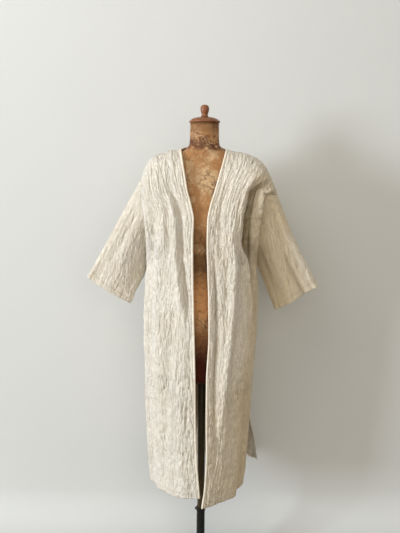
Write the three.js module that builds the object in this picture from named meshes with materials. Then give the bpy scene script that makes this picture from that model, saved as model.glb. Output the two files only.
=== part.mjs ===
// Long open-front haori on a limbless dress form with a telescoping floor stand.
// Millimetres, +Z up, origin on the floor under the pole, the wearer's front towards -Y.
// "left" and "right" are the wearer's: the left side lies at +X.
import * as THREE from "three";

// ---------- driving dimensions ----------
const CLOTH = 1.6; // wall of the crinkled cotton
const SEAM_GAP = 0.3; // between two pieces at a seam
const UNDERARM_EASE = 4.4; // more room where sleeve, front and back meet under the arm
const BAND_WIDTH = 9; // narrow band along neck and front edges
const BAND_CLOTH = 1.0;
const BAND_LIFT = 0.3; // between a band and the panel that it lies on
const SHOULDER_ROW = 0.885; // share of the height where the panels start to turn over the shoulder
const UNDERARM_ROW = 0.68; // share of the height where the side seam meets the sleeve
const VENT_ROW = 0.24; // share of the height where the side vent ends
const NECK_SHARE = 0.24; // share of each half of the back's top edge that is neckline

// Grid of each panel: columns across, rows upwards.
const FRONT_COLUMNS = 18;
const BACK_SIDE_COLUMNS = 11;
const BACK_NECK_COLUMNS = 3;
const SLEEVE_STEPS = 9;
const LOWER_ROWS = 7; // hem to vent
const MIDDLE_ROWS = 12; // vent to underarm
const ARMHOLE_ROWS = 7; // underarm to shoulder row
const SHOULDER_ROWS = 5; // over the shoulder to its seam

const mm = (x, y, z) => new THREE.Vector3(x, y, z);

// ---------- sections of the worn garment ----------
// Each row is one section of a front panel, from its edge round a soft corner to the side seam or armhole.
// x counts outwards from the middle. round: 0 is a straight cut across the corner, large is a sharp corner.
const FRONT_SECTIONS = {
  left: [
    { row: 0.0, edge: [2, -136, 285], corner: [118, -90, 291], side: [154, 34, 298], round: 1.3 },
    { row: 0.06, edge: [11, -134, 358], corner: [122, -93, 360], side: [160, 28, 366], round: 1.2 },
    { row: 0.15, edge: [16, -131, 468], corner: [126, -98, 468], side: [167, 18, 470], round: 1.1 },
    { row: 0.27, edge: [14, -129, 613], corner: [136, -104, 613], side: [174, 13, 613], round: 1.0 },
    { row: 0.37, edge: [14, -127, 735], corner: [152, -108, 735], side: [181, 14, 733], round: 0.95 },
    { row: 0.49, edge: [20, -127, 880], corner: [174, -114, 880], side: [190, 14, 878], round: 0.9 },
    { row: 0.6, edge: [18, -126, 1012], corner: [182, -118, 1010], side: [192, 16, 1006], round: 0.9 },
    { row: 0.68, edge: [14, -125, 1110], corner: [182, -118, 1110], side: [185, 14, 1110], round: 0.9 },
    { row: 0.76, edge: [11, -123, 1206], corner: [180, -120, 1205], side: [186, -42, 1206], round: 0.9 },
    { row: 0.81, edge: [12, -121, 1267], corner: [184, -118, 1268], side: [191, -60, 1268], round: 1.0 },
    { row: 0.85, edge: [20, -114, 1315], corner: [190, -112, 1318], side: [197, -68, 1312], round: 1.1 },
    { row: 0.885, edge: [34, -101, 1360], corner: [196, -104, 1364], side: [203, -66, 1356], round: 1.2 },
    { row: 1.0, edge: [72.5, 0, 1497], corner: [199, 0, 1478], side: [246, 0, 1351], round: 2.6 },
  ],
  right: [
    { row: 0.0, edge: [5, -124, 317], corner: [134, -124, 306], side: [186, 34, 305], round: 0.8 },
    { row: 0.06, edge: [9, -128, 368], corner: [140, -124, 364], side: [189, 26, 366], round: 0.8 },
    { row: 0.15, edge: [17, -130, 468], corner: [150, -126, 468], side: [195, 16, 470], round: 0.8 },
    { row: 0.27, edge: [22, -129, 613], corner: [165, -127, 613], side: [200, 14, 613], round: 0.85 },
    { row: 0.37, edge: [24, -128, 735], corner: [180, -129, 735], side: [202, 14, 733], round: 0.9 },
    { row: 0.49, edge: [28, -127, 880], corner: [190, -122, 880], side: [201, 15, 878], round: 0.9 },
    { row: 0.6, edge: [32, -126, 1012], corner: [194, -122, 1010], side: [194, 16, 1006], round: 0.9 },
    { row: 0.68, edge: [34, -125, 1110], corner: [192, -121, 1109], side: [187, 14, 1112], round: 0.9 },
    { row: 0.76, edge: [35, -123, 1206], corner: [191, -121, 1205], side: [189, -42, 1206], round: 0.9 },
    { row: 0.81, edge: [33, -121, 1270], corner: [196, -119, 1268], side: [196, -62, 1257], round: 1.0 },
    { row: 0.85, edge: [41, -114, 1315], corner: [199, -114, 1318], side: [200, -70, 1290], round: 1.1 },
    { row: 0.885, edge: [54, -101, 1360], corner: [203, -105, 1364], side: [207, -66, 1320], round: 1.2 },
    { row: 1.0, edge: [78, 0, 1498], corner: [188, 0, 1481], side: [208, 0, 1404], round: 1.9 },
  ],
};

// Each row is one section of the back, from the middle round to the side. Between the vent and the
// underarm the side point is the front panel's own; above the shoulder row the top edge takes over.
const BACK_MIDDLE = [
  { row: 0.0, middle: [0, 186, 338] },
  { row: 0.12, middle: [0, 174, 434] },
  { row: 0.24, middle: [0, 163, 577] },
  { row: 0.37, middle: [0, 154, 735] },
  { row: 0.49, middle: [0, 146, 880] },
  { row: 0.6, middle: [0, 138, 1012] },
  { row: 0.68, middle: [0, 133, 1110] },
  { row: 0.76, middle: [0, 130, 1206] },
  { row: 0.81, middle: [0, 126, 1268] },
  { row: 0.85, middle: [0, 120, 1318] },
  { row: 0.885, middle: [0, 111, 1366] },
];
const BACK_SIDES = {
  left: [
    { row: 0.0, corner: [222, 208, 350], side: [213, 124, 342], round: 0.9 },
    { row: 0.12, corner: [208, 190, 440], side: [194, 84, 450], round: 0.9 },
    { row: 0.24, corner: [198, 176, 578], side: null, round: 0.9 },
    { row: 0.37, corner: [196, 164, 735], side: null, round: 0.9 },
    { row: 0.49, corner: [202, 158, 880], side: null, round: 0.9 },
    { row: 0.6, corner: [204, 150, 1010], side: null, round: 0.9 },
    { row: 0.68, corner: [198, 144, 1108], side: null, round: 0.9 },
    { row: 0.76, corner: [194, 138, 1205], side: [190, 46, 1206], round: 0.9 },
    { row: 0.81, corner: [196, 132, 1268], side: [195, 62, 1268], round: 1.0 },
    { row: 0.85, corner: [199, 126, 1318], side: [201, 70, 1312], round: 1.1 },
    { row: 0.885, corner: [203, 116, 1364], side: [207, 67, 1356], round: 1.2 },
  ],
  right: [
    { row: 0.0, corner: [200, 206, 332], side: [190, 112, 324], round: 0.9 },
    { row: 0.12, corner: [204, 190, 440], side: [196, 78, 450], round: 0.9 },
    { row: 0.24, corner: [208, 176, 578], side: null, round: 0.9 },
    { row: 0.37, corner: [210, 164, 735], side: null, round: 0.9 },
    { row: 0.49, corner: [210, 158, 880], side: null, round: 0.9 },
    { row: 0.6, corner: [206, 150, 1010], side: null, round: 0.9 },
    { row: 0.68, corner: [202, 144, 1108], side: null, round: 0.9 },
    { row: 0.76, corner: [199, 138, 1205], side: [194, 46, 1200], round: 0.9 },
    { row: 0.81, corner: [199, 132, 1268], side: [198, 64, 1257], round: 1.0 },
    { row: 0.85, corner: [200, 126, 1318], side: [201, 72, 1290], round: 1.1 },
    { row: 0.885, corner: [204, 116, 1364], side: [208, 68, 1320], round: 1.2 },
  ],
};
const BACK_NECK = [0, 64, 1511]; // middle of the back neckline

// Each row is one large fold: where it starts and ends as [share across, share up], how wide it is
// and how far it stands out (a ridge) or goes in (a valley, below 0), at both ends.
const FOLDS = {
  front_left: [
    { from: [0.665, 0.95], to: [0.565, 0.7], wide: [10, 14], out: [-12, -30] },
    { from: [0.8, 0.97], to: [0.76, 0.6], wide: [20, 26], out: [-24, -30] },
    { from: [0.76, 0.76], to: [0.9, 0.44], wide: [20, 18], out: [-13, -18] },
    { from: [0.6, 0.94], to: [0.515, 0.69], wide: [10, 9], out: [6, 14] },
    { from: [0.52, 0.76], to: [0.68, 0.5], wide: [9, 10], out: [8, 7] },
    { from: [0.42, 0.88], to: [0.22, 0.12], wide: [13, 18], out: [11, 6] },
    { from: [0.53, 0.82], to: [0.37, 0.3], wide: [12, 14], out: [-8, -6] },
    { from: [0.08, 0.78], to: [0.15, 0.06], wide: [10, 15], out: [-12, -9] },
    { from: [0.2, 0.93], to: [0.19, 0.68], wide: [10, 10], out: [-5, -5] },
    { from: [0.62, 0.5], to: [0.55, -0.1], wide: [18, 26], out: [4, 9] },
    { from: [0.74, 0.42], to: [0.76, -0.1], wide: [18, 24], out: [-5, -9] },
    { from: [0.92, 0.95], to: [0.9, 0.8], wide: [12, 16], out: [5, 10] },
  ],
  front_right: [
    { from: [0.42, 0.93], to: [0.1, 0.5], wide: [10, 11], out: [8, 10] },
    { from: [0.32, 0.93], to: [0.0, 0.5], wide: [10, 11], out: [-9, -11] },
    { from: [0.05, 0.5], to: [0.07, 0.34], wide: [8, 8], out: [-7, -5] },
    { from: [0.55, 0.93], to: [0.5, 0.3], wide: [18, 22], out: [6, 9] },
    { from: [0.24, 0.64], to: [0.58, -0.05], wide: [11, 17], out: [-4, -8] },
    { from: [0.7, 0.9], to: [0.7, 0.05], wide: [14, 18], out: [-6, -8] },
    { from: [0.84, 0.93], to: [0.82, 0.35], wide: [16, 20], out: [9, 8] },
    { from: [0.95, 0.93], to: [0.98, 0.62], wide: [12, 18], out: [-9, -22] },
    { from: [0.2, 0.4], to: [0.24, -0.1], wide: [16, 20], out: [4, 6] },
    { from: [0.84, 0.4], to: [0.84, -0.1], wide: [18, 24], out: [-4, -9] },
  ],
  back: [
    { from: [0.06, 0.82], to: [0.08, 0.46], wide: [20, 22], out: [-16, -10] },
    { from: [0.94, 0.82], to: [0.92, 0.46], wide: [20, 22], out: [-16, -10] },
    { from: [0.16, 0.95], to: [0.17, 0.1], wide: [20, 28], out: [8, 12] },
    { from: [0.84, 0.95], to: [0.83, 0.1], wide: [20, 28], out: [8, 12] },
    { from: [0.27, 0.88], to: [0.25, -0.1], wide: [16, 22], out: [-7, -16] },
    { from: [0.73, 0.88], to: [0.75, -0.1], wide: [16, 22], out: [-7, -16] },
    { from: [0.37, 0.84], to: [0.36, -0.1], wide: [18, 26], out: [5, 14] },
    { from: [0.63, 0.84], to: [0.64, -0.1], wide: [18, 26], out: [5, 14] },
    { from: [0.5, 0.8], to: [0.49, -0.1], wide: [18, 26], out: [-5, -14] },
    { from: [0.1, 0.45], to: [0.09, -0.1], wide: [16, 24], out: [-5, -12] },
    { from: [0.9, 0.45], to: [0.91, -0.1], wide: [16, 24], out: [-5, -12] },
  ],
};

// Each row is one fold along a sleeve: share round the tube (0 is its top, 0.25 its front, 0.5 its
// underside) at the armhole and at the cuff, where along the sleeve it runs, its width and height.
const SLEEVE_FOLDS = {
  left: [
    { round: [0.08, 0.09], along: [0.4, 1.3], wide: [11, 13], out: [3, 9] },
    { round: [0.19, 0.2], along: [0.4, 1.3], wide: [12, 16], out: [-3, -11] },
    { round: [0.27, 0.3], along: [0.1, 1.2], wide: [16, 16], out: [3, 4] },
    { round: [0.4, 0.38], along: [-0.1, 0.9], wide: [16, 14], out: [-9, -4] },
    { round: [0.62, 0.62], along: [-0.1, 1.2], wide: [18, 16], out: [-8, -6] },
    { round: [0.74, 0.74], along: [-0.1, 1.2], wide: [18, 16], out: [6, 6] },
    { round: [0.86, 0.86], along: [-0.1, 1.2], wide: [18, 16], out: [-6, -5] },
  ],
  right: [
    { round: [0.94, 0.9], along: [0.05, 1.2], wide: [10, 11], out: [6, 8] },
    { round: [0.875, 0.81], along: [0.05, 1.2], wide: [10, 11], out: [-8, -10] },
    { round: [0.74, 0.7], along: [0.15, 1.2], wide: [14, 14], out: [6, 8] },
    { round: [0.62, 0.62], along: [0.3, 1.2], wide: [13, 13], out: [-6, -7] },
    { round: [0.38, 0.38], along: [-0.1, 1.2], wide: [18, 16], out: [-8, -6] },
    { round: [0.26, 0.26], along: [-0.1, 1.2], wide: [18, 16], out: [6, 6] },
    { round: [0.14, 0.14], along: [-0.1, 1.2], wide: [18, 16], out: [-6, -5] },
  ],
};
// Ends of each flattened cuff, half its thickness from front to back, and how far the sleeve's top sags.
const CUFFS = {
  left: { top: [400, 14, 1040], under: [253, 14, 951], half: 26, sag: 9 },
  right: { top: [398, -4, 1062], under: [256, -4, 977], half: 26, sag: 2 },
};

const SLEEVE_GIRTH = 480; // length round a sleeve that the folds' widths are measured against

// ---------- dress form and stand ----------
// Each row is one level of the padded body: half width, reach to the front and to the back.
const FORM_SECTIONS = [
  { z: 714, wide: 158, front: 96, back: 98 },
  { z: 722, wide: 164, front: 101, back: 103 },
  { z: 800, wide: 169, front: 104, back: 112 },
  { z: 900, wide: 170, front: 104, back: 118 },
  { z: 1000, wide: 150, front: 97, back: 104 },
  { z: 1095, wide: 126, front: 88, back: 84 },
  { z: 1180, wide: 143, front: 98, back: 88 },
  { z: 1250, wide: 160, front: 109, back: 94 },
  { z: 1305, wide: 163, front: 100, back: 96 },
  { z: 1355, wide: 172, front: 84, back: 92 },
  { z: 1400, wide: 178, front: 70, back: 78 },
  { z: 1432, wide: 176, front: 58, back: 62 },
  { z: 1455.5, wide: 166, front: 51, back: 53 },
  { z: 1468.5, wide: 146, front: 48, back: 49 },
  { z: 1479.5, wide: 112, front: 46, back: 47 },
  { z: 1489.5, wide: 80, front: 46, back: 47 },
  { z: 1501.5, wide: 60, front: 46, back: 46 },
  { z: 1514, wide: 51, front: 46, back: 46 },
  { z: 1535, wide: 48.5, front: 46, back: 46 },
  { z: 1586, wide: 48, front: 46, back: 46 },
];
const FORM_SEGMENTS = 32;
const CAP_TOP = 1606;
const CAP_RADIUS = 52;
const FINIAL_TOP = 1645.6;
const POLE_RADIUS = 13;
const TUBE_RADIUS = 15;
const TUBE_BORE = 13.5;
const COLLAR_RADIUS = 17;
const COLLAR_TOP = 219;
const COLLAR_HEIGHT = 14;
const BASE_RADIUS = 160;
const BASE_HEIGHT = 26;
const TOUCH = 0.3; // between two hard pieces that stand on each other
const ROUND_SEGMENTS = 32;

// ---------- curves ----------
// A conic from one end to the other round a corner, as points at the given shares of its length.
function conic(from, corner, to, round, shares) {
  const fine = 96;
  const points = [];
  for (let i = 0; i <= fine; i++) {
    const u = i / fine;
    const weights = [(1 - u) ** 2, 2 * u * (1 - u) * round, u ** 2];
    const sum = weights[0] + weights[1] + weights[2];
    const point = mm(0, 0, 0);
    [from, corner, to].forEach((p, k) => point.addScaledVector(mm(...p), weights[k] / sum));
    points.push(point);
  }
  return atShares(points, shares);
}

function lengthsAlong(points) {
  const along = [0];
  for (let i = 1; i < points.length; i++) along.push(along[i - 1] + points[i].distanceTo(points[i - 1]));
  return along;
}

// Points of a polyline at shares of its length; shares may be a function of that length.
function atShares(points, shares) {
  const along = lengthsAlong(points);
  const total = along[along.length - 1];
  const wanted = typeof shares === "function" ? shares(total) : shares;
  return wanted.map((share) => {
    const target = Math.min(Math.max(share, 0), 1) * total;
    let k = 1;
    while (k < points.length - 1 && along[k] < target) k++;
    const step = (target - along[k - 1]) / (along[k] - along[k - 1]);
    return points[k - 1].clone().lerp(points[k], step);
  });
}

// A smooth curve through values at knots, read at one place; it has no more bumps than the values.
function smoothAt(knots, values, at) {
  const last = knots.length - 1;
  let k = 0;
  while (k < last - 1 && at > knots[k + 1]) k++;
  const slope = (i) => {
    if (i === 0) return (values[1] - values[0]) / (knots[1] - knots[0]);
    if (i === last) return (values[last] - values[last - 1]) / (knots[last] - knots[last - 1]);
    const before = (values[i] - values[i - 1]) / (knots[i] - knots[i - 1]);
    const after = (values[i + 1] - values[i]) / (knots[i + 1] - knots[i]);
    return before * after <= 0 ? 0 : (2 * before * after) / (before + after);
  };
  const width = knots[k + 1] - knots[k];
  const u = Math.min(Math.max((at - knots[k]) / width, 0), 1);
  const [a, b] = [values[k], values[k + 1]];
  const [ma, mb] = [slope(k) * width, slope(k + 1) * width];
  return a * (2 * u ** 3 - 3 * u ** 2 + 1) + ma * (u ** 3 - 2 * u ** 2 + u) +
    b * (3 * u ** 2 - 2 * u ** 3) + mb * (u ** 3 - u ** 2);
}

// Rows of points at knots, read as one row at a height.
function rowAt(knots, rows, at) {
  return rows[0].map((_, i) => mm(
    smoothAt(knots, rows.map((r) => r[i].x), at),
    smoothAt(knots, rows.map((r) => r[i].y), at),
    smoothAt(knots, rows.map((r) => r[i].z), at),
  ));
}

const steps = (from, to, count) => Array.from({ length: count }, (_, i) => from + ((to - from) * i) / count);

// Heights of the grid rows, as shares from hem to shoulder seam.
const ROWS = [
  ...steps(0, VENT_ROW, LOWER_ROWS),
  ...steps(VENT_ROW, UNDERARM_ROW, MIDDLE_ROWS),
  ...steps(UNDERARM_ROW, SHOULDER_ROW, ARMHOLE_ROWS),
  ...steps(SHOULDER_ROW, 1, SHOULDER_ROWS),
  1,
];
const VENT_INDEX = LOWER_ROWS;
const UNDERARM_INDEX = LOWER_ROWS + MIDDLE_ROWS;

// ---------- panels as grids of points ----------
// From the shoulder row the cloth runs on at its own slope, rounds over and lies level at the seam.
function overShoulder(before, below, top, row) {
  const u = (row - SHOULDER_ROW) / (1 - SHOULDER_ROW);
  const round = 1.1;
  const weights = [(1 - u) ** 2, 2 * u * (1 - u) * round, u ** 2];
  const sum = weights[0] + weights[1] + weights[2];
  return below.map((p, i) => {
    const rise = top[i].z - p.z;
    const slope = (p.y - before[i].y) / Math.max(p.z - before[i].z, 20);
    const corner = mm(top[i].x, p.y + slope * rise * 0.8, top[i].z);
    return mm(0, 0, 0)
      .addScaledVector(p, weights[0] / sum)
      .addScaledVector(corner, weights[1] / sum)
      .addScaledVector(top[i], weights[2] / sum);
  });
}

function gridOf(knots, rows, top) {
  return ROWS.map((row) => (row <= SHOULDER_ROW
    ? rowAt(knots, rows, row)
    : overShoulder(rows[rows.length - 2], rows[rows.length - 1], top, row)));
}

// Shares across a front panel: the first column is as wide as the edge band.
const frontShares = (length) => [
  0,
  ...Array.from({ length: FRONT_COLUMNS }, (_, i) => {
    const first = BAND_WIDTH / length;
    return first + ((1 - first) * i) / (FRONT_COLUMNS - 1);
  }),
];

function frontGrid(side) {
  const sections = FRONT_SECTIONS[side];
  const sampled = sections.map((s) => conic(s.edge, s.corner, s.side, s.round, frontShares));
  const top = sampled.pop();
  const knots = sections.slice(0, -1).map((s) => s.row);
  return gridOf(knots, sampled, top);
}

const backShares = [
  ...steps(0, NECK_SHARE, BACK_NECK_COLUMNS),
  ...steps(NECK_SHARE, 1, BACK_SIDE_COLUMNS),
  1,
];

// One half of the back, from the middle outwards; the front grid gives the side seam.
function backHalf(side, front) {
  const seamAt = (row) => {
    const found = front.map((r) => r[r.length - 1]);
    return ["x", "y", "z"].map((axis) => smoothAt(ROWS, found.map((p) => p[axis]), row));
  };
  const sections = BACK_SIDES[side];
  const sampled = sections.map((s, k) => conic(
    BACK_MIDDLE[k].middle, s.corner, s.side || seamAt(s.row), s.round, backShares));
  const shoulder = FRONT_SECTIONS[side][FRONT_SECTIONS[side].length - 1];
  const neckShares = steps(0, 1, BACK_NECK_COLUMNS);
  const neck = neckShares.map((u) => {
    const angle = (u * Math.PI) / 2;
    return mm(
      shoulder.edge[0] * Math.sin(angle),
      shoulder.edge[1] + (BACK_NECK[1] - shoulder.edge[1]) * Math.cos(angle),
      shoulder.edge[2] + (BACK_NECK[2] - shoulder.edge[2]) * Math.cos(angle),
    );
  });
  const seam = conic(shoulder.edge, shoulder.corner, shoulder.side, shoulder.round,
    [...steps(0, 1, BACK_SIDE_COLUMNS), 1]);
  const grid = gridOf(sections.map((s) => s.row), sampled, [...neck, ...seam]);
  // Between vent and underarm the side seam is the front panel's own edge.
  for (let j = VENT_INDEX; j <= UNDERARM_INDEX; j++) {
    grid[j][grid[j].length - 1] = front[j][front[j].length - 1].clone();
  }
  return grid;
}

const mirrored = (grid) => grid.map((row) => row.map((p) => mm(-p.x, p.y, p.z)));

// ---------- folds ----------
const smoothstep = (t) => {
  const u = Math.min(Math.max(t, 0), 1);
  return u * u * (3 - 2 * u);
};

// How far one fold moves the cloth at a place across and up; both are shares, width is in mm.
function foldHeight(fold, across, up, length) {
  const t = (up - fold.from[1]) / (fold.to[1] - fold.from[1]);
  if (t < 0 || t > 1) return 0;
  const centre = fold.from[0] + (fold.to[0] - fold.from[0]) * t;
  const wide = fold.wide[0] + (fold.wide[1] - fold.wide[0]) * t;
  const out = fold.out[0] + (fold.out[1] - fold.out[0]) * t;
  const fade = smoothstep(t / 0.22) * smoothstep((1 - t) / 0.22);
  return out * fade * Math.exp(-((((across - centre) * length) / wide) ** 2));
}

function outwards(grid, closed) {
  const [rows, columns] = [grid.length, grid[0].length];
  return grid.map((row, j) => row.map((_, i) => {
    const left = closed ? (i + columns - 1) % columns : Math.max(i - 1, 0);
    const right = closed ? (i + 1) % columns : Math.min(i + 1, columns - 1);
    const along = row[right].clone().sub(row[left]);
    const up = grid[Math.min(j + 1, rows - 1)][i].clone().sub(grid[Math.max(j - 1, 0)][i]);
    return along.cross(up).normalize();
  }));
}

// Folds fade near an edge that is sewn or that must hang straight.
function folded(grid, folds, facing, quiet) {
  const normals = outwards(grid, false);
  return grid.map((row, j) => {
    const along = lengthsAlong(row);
    const length = along[along.length - 1];
    return row.map((p, i) => {
      const across = along[i] / length;
      let out = 0;
      for (const fold of folds) out += foldHeight(fold, across, ROWS[j], length);
      return p.clone().addScaledVector(normals[j][i], facing * out * quiet(across * length, length, ROWS[j]));
    });
  });
}

// ---------- walls ----------
// A closed wall round a grid: half the thickness to each side along the given normals.
function wall(grid, normals, thickness, closed = false) {
  const [rows, columns] = [grid.length, grid[0].length];
  const positions = [];
  for (const sign of [1, -1]) {
    grid.forEach((row, j) => row.forEach((p, i) => {
      const q = p.clone().addScaledVector(normals[j][i], (sign * thickness) / 2);
      positions.push(q.x, q.y, q.z);
    }));
  }
  const outer = (j, i) => j * columns + (i % columns);
  const inner = (j, i) => rows * columns + outer(j, i);
  const index = [];
  const quad = (a, b, c, d) => index.push(a, b, c, a, c, d);
  const across = closed ? columns : columns - 1;
  for (let j = 0; j < rows - 1; j++) {
    for (let i = 0; i < across; i++) {
      quad(outer(j, i), outer(j, i + 1), outer(j + 1, i + 1), outer(j + 1, i));
      quad(inner(j, i), inner(j + 1, i), inner(j + 1, i + 1), inner(j, i + 1));
    }
  }
  for (let i = 0; i < across; i++) {
    quad(outer(0, i), inner(0, i), inner(0, i + 1), outer(0, i + 1));
    quad(outer(rows - 1, i), outer(rows - 1, i + 1), inner(rows - 1, i + 1), inner(rows - 1, i));
  }
  if (!closed) {
    for (let j = 0; j < rows - 1; j++) {
      quad(outer(j, 0), outer(j + 1, 0), inner(j + 1, 0), inner(j, 0));
      quad(outer(j, across), inner(j, across), inner(j + 1, across), outer(j + 1, across));
    }
  }
  return closedGeometry(positions, index);
}

// Turns the faces out if the volume that they hold is below zero.
function closedGeometry(positions, index) {
  let volume = 0;
  const at = (k) => mm(positions[3 * k], positions[3 * k + 1], positions[3 * k + 2]);
  for (let k = 0; k < index.length; k += 3) {
    volume += at(index[k]).dot(at(index[k + 1]).cross(at(index[k + 2])));
  }
  if (volume < 0) {
    for (let k = 0; k < index.length; k += 3) [index[k + 1], index[k + 2]] = [index[k + 2], index[k + 1]];
  }
  const geometry = new THREE.BufferGeometry();
  geometry.setAttribute("position", new THREE.Float32BufferAttribute(positions, 3));
  geometry.setIndex(index);
  return geometry;
}

const shared = (a, b) => {
  const mean = a.clone().add(b).normalize();
  a.copy(mean);
  b.copy(mean);
};

const pull = (p, towards, distance) => {
  p.addScaledVector(towards.clone().sub(p).normalize(), distance);
};

// ---------- build the panels ----------
const sides = ["left", "right"];
const sign = { left: 1, right: -1 };
const seamQuiet = (distance, length, row) => {
  const fromSide = smoothstep((length - distance) / 26);
  const fromEdge = 0.15 + 0.85 * smoothstep(distance / 30);
  return fromSide * fromEdge * smoothstep((1 - row) / 0.05);
};
const backQuiet = (distance, length, row) => {
  const fromSide = smoothstep(distance / 26) * smoothstep((length - distance) / 26);
  return fromSide * smoothstep((1 - row) / 0.06);
};

const plainFront = { left: frontGrid("left"), right: frontGrid("right") };
const halfBack = {};
const front = {};
for (const side of sides) {
  halfBack[side] = backHalf(side, plainFront[side]);
  front[side] = folded(plainFront[side], FOLDS["front_" + side], 1, seamQuiet);
}
front.right = mirrored(front.right);
halfBack.right = mirrored(halfBack.right);
// The back runs from the left side seam to the right one.
const plainBack = halfBack.left.map((row, j) => [...row.slice().reverse(), ...halfBack.right[j].slice(1)]);
const back = folded(plainBack, FOLDS.back, 1, backQuiet);

const lastColumn = front.left[0].length - 1;
const backLast = back[0].length - 1;
const backEnd = { left: 0, right: backLast };
const topRow = ROWS.length - 1;

// Each sleeve starts on its armhole: down the front panel's edge and up the back's.
function sleeveGrid(side) {
  const armhole = [];
  for (let j = topRow; j >= UNDERARM_INDEX; j--) armhole.push(front[side][j][lastColumn].clone());
  const half = armhole.length - 1;
  for (let j = UNDERARM_INDEX + 1; j < topRow; j++) armhole.push(back[j][backEnd[side]].clone());
  const along = lengthsAlong([...armhole, armhole[0]]);
  const toUnderarm = along[half];
  const whole = along[along.length - 1];
  const cuff = CUFFS[side];
  const flip = sign[side];
  const top = mm(flip * cuff.top[0], cuff.top[1], cuff.top[2]);
  const under = mm(flip * cuff.under[0], cuff.under[1], cuff.under[2]);
  const middle = top.clone().lerp(under, 0.5);
  const reach = top.clone().sub(middle);
  const rings = [];
  const rounds = armhole.map((_, k) => (k <= half
    ? (0.5 * along[k]) / toUnderarm
    : 0.5 + (0.5 * (along[k] - toUnderarm)) / (whole - toUnderarm)));
  for (let w = 0; w <= SLEEVE_STEPS; w++) {
    const share = w / SLEEVE_STEPS;
    rings.push(armhole.map((p, k) => {
      const angle = 2 * Math.PI * rounds[k];
      const end = middle.clone()
        .addScaledVector(reach, Math.cos(angle))
        .add(mm(0, -cuff.half * Math.sin(angle), 0));
      const sag = cuff.sag * 4 * share * (1 - share) * Math.max(0, Math.cos(angle));
      return p.clone().lerp(end, share).add(mm(-flip * 0.85 * sag, 0, -0.5 * sag));
    }));
  }
  const normals = outwards(rings, true);
  const facing = flip; // the ring runs the other way round on the mirrored side
  return rings.map((ring, w) => ring.map((p, k) => {
    const share = w / SLEEVE_STEPS;
    let out = 0;
    for (const fold of SLEEVE_FOLDS[side]) {
      const around = fold.round[0] + (fold.round[1] - fold.round[0]) * share;
      // the table counts the front as 0.25 on the left sleeve and 0.75 on the right one
      const place = flip > 0 ? rounds[k] : 1 - rounds[k];
      const round = { from: [around, fold.along[0]], to: [around, fold.along[1]], wide: fold.wide, out: fold.out };
      out += foldHeight(round, place, share, SLEEVE_GIRTH);
    }
    return p.clone().addScaledVector(normals[w][k], facing * out * smoothstep(share / 0.2));
  }));
}
const sleeve = { left: sleeveGrid("left"), right: sleeveGrid("right") };

// ---------- seams: shared normals, then a small gap ----------
const faces = (grid, facing, closed) => outwards(grid, closed).map((row) => row.map((n) => n.multiplyScalar(facing)));
const normals = {
  left: faces(front.left, 1, false),
  right: faces(front.right, -1, false),
  back: faces(back, 1, false),
  sleeve_left: faces(sleeve.left, 1, true),
  sleeve_right: faces(sleeve.right, -1, true),
};

for (const side of sides) {
  const ring = normals["sleeve_" + side];
  for (let j = VENT_INDEX; j <= topRow; j++) {
    const onFront = normals[side][j][lastColumn];
    const onBack = normals.back[j][backEnd[side]];
    if (j < UNDERARM_INDEX) shared(onFront, onBack);
    if (j >= UNDERARM_INDEX) {
      const k = topRow - j;
      const opposite = (2 * (topRow - UNDERARM_INDEX) - k) % ring[0].length;
      if (j === topRow || j === UNDERARM_INDEX) {
        const mean = onFront.clone().add(onBack).add(ring[0][k]).normalize();
        [onFront, onBack, ring[0][k]].forEach((n) => n.copy(mean));
      } else {
        shared(onFront, ring[0][k]);
        shared(onBack, ring[0][opposite]);
      }
    }
  }
  // Shoulder seam: the back's columns meet the front's at the same shares of the seam.
  for (let c = 0; c < BACK_SIDE_COLUMNS; c++) {
    const onBack = normals.back[topRow][side === "left"
      ? BACK_SIDE_COLUMNS - c
      : backLast - BACK_SIDE_COLUMNS + c];
    onBack.add(mm(0, -onBack.y, 0)).normalize();
  }
  normals[side][topRow].forEach((n) => n.add(mm(0, -n.y, 0)).normalize());
}

const halfGap = SEAM_GAP / 2;
for (const side of sides) {
  const neckEnd = side === "left" ? BACK_SIDE_COLUMNS : backLast - BACK_SIDE_COLUMNS;
  for (let j = 0; j <= topRow; j++) {
    pull(front[side][j][lastColumn], front[side][j][lastColumn - 1], halfGap);
    const inner = side === "left" ? 1 : backLast - 1;
    pull(back[j][backEnd[side]], back[j][inner], halfGap);
  }
  for (let i = 0; i <= lastColumn; i++) front[side][topRow][i].y -= halfGap;
  for (let i = 0; i <= backLast; i++) {
    const onSeam = side === "left" ? i <= neckEnd : i >= neckEnd;
    if (onSeam) back[topRow][i].y += halfGap;
  }
  sleeve[side][0].forEach((p, k) => {
    const fromUnderarm = Math.abs(k - (topRow - UNDERARM_INDEX));
    const room = UNDERARM_EASE * Math.max(0, 1 - fromUnderarm / 3) ** 2;
    pull(p, sleeve[side][1][k], 2 * SEAM_GAP + room);
  });
}

// ---------- bands along the neck and front edges ----------
const lift = CLOTH / 2 + BAND_LIFT + BAND_CLOTH / 2;
const lifted = (grid, faceNormals) => grid.map((row, j) => row.map((p, i) => p.clone().addScaledVector(faceNormals[j][i], lift)));
function edgeBand(side) {
  const cut = (rows) => rows.map((row) => row.slice(0, 2));
  const own = cut(normals[side]);
  return wall(lifted(cut(front[side]), own), own, BAND_CLOTH);
}
function neckBand() {
  const [first, last] = [BACK_SIDE_COLUMNS, backLast - BACK_SIDE_COLUMNS];
  const cut = (rows) => rows.slice(topRow - 1).map((row) => row.slice(first, last + 1));
  const own = cut(normals.back);
  return wall(lifted(cut(back), own), own, BAND_CLOTH);
}

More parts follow.
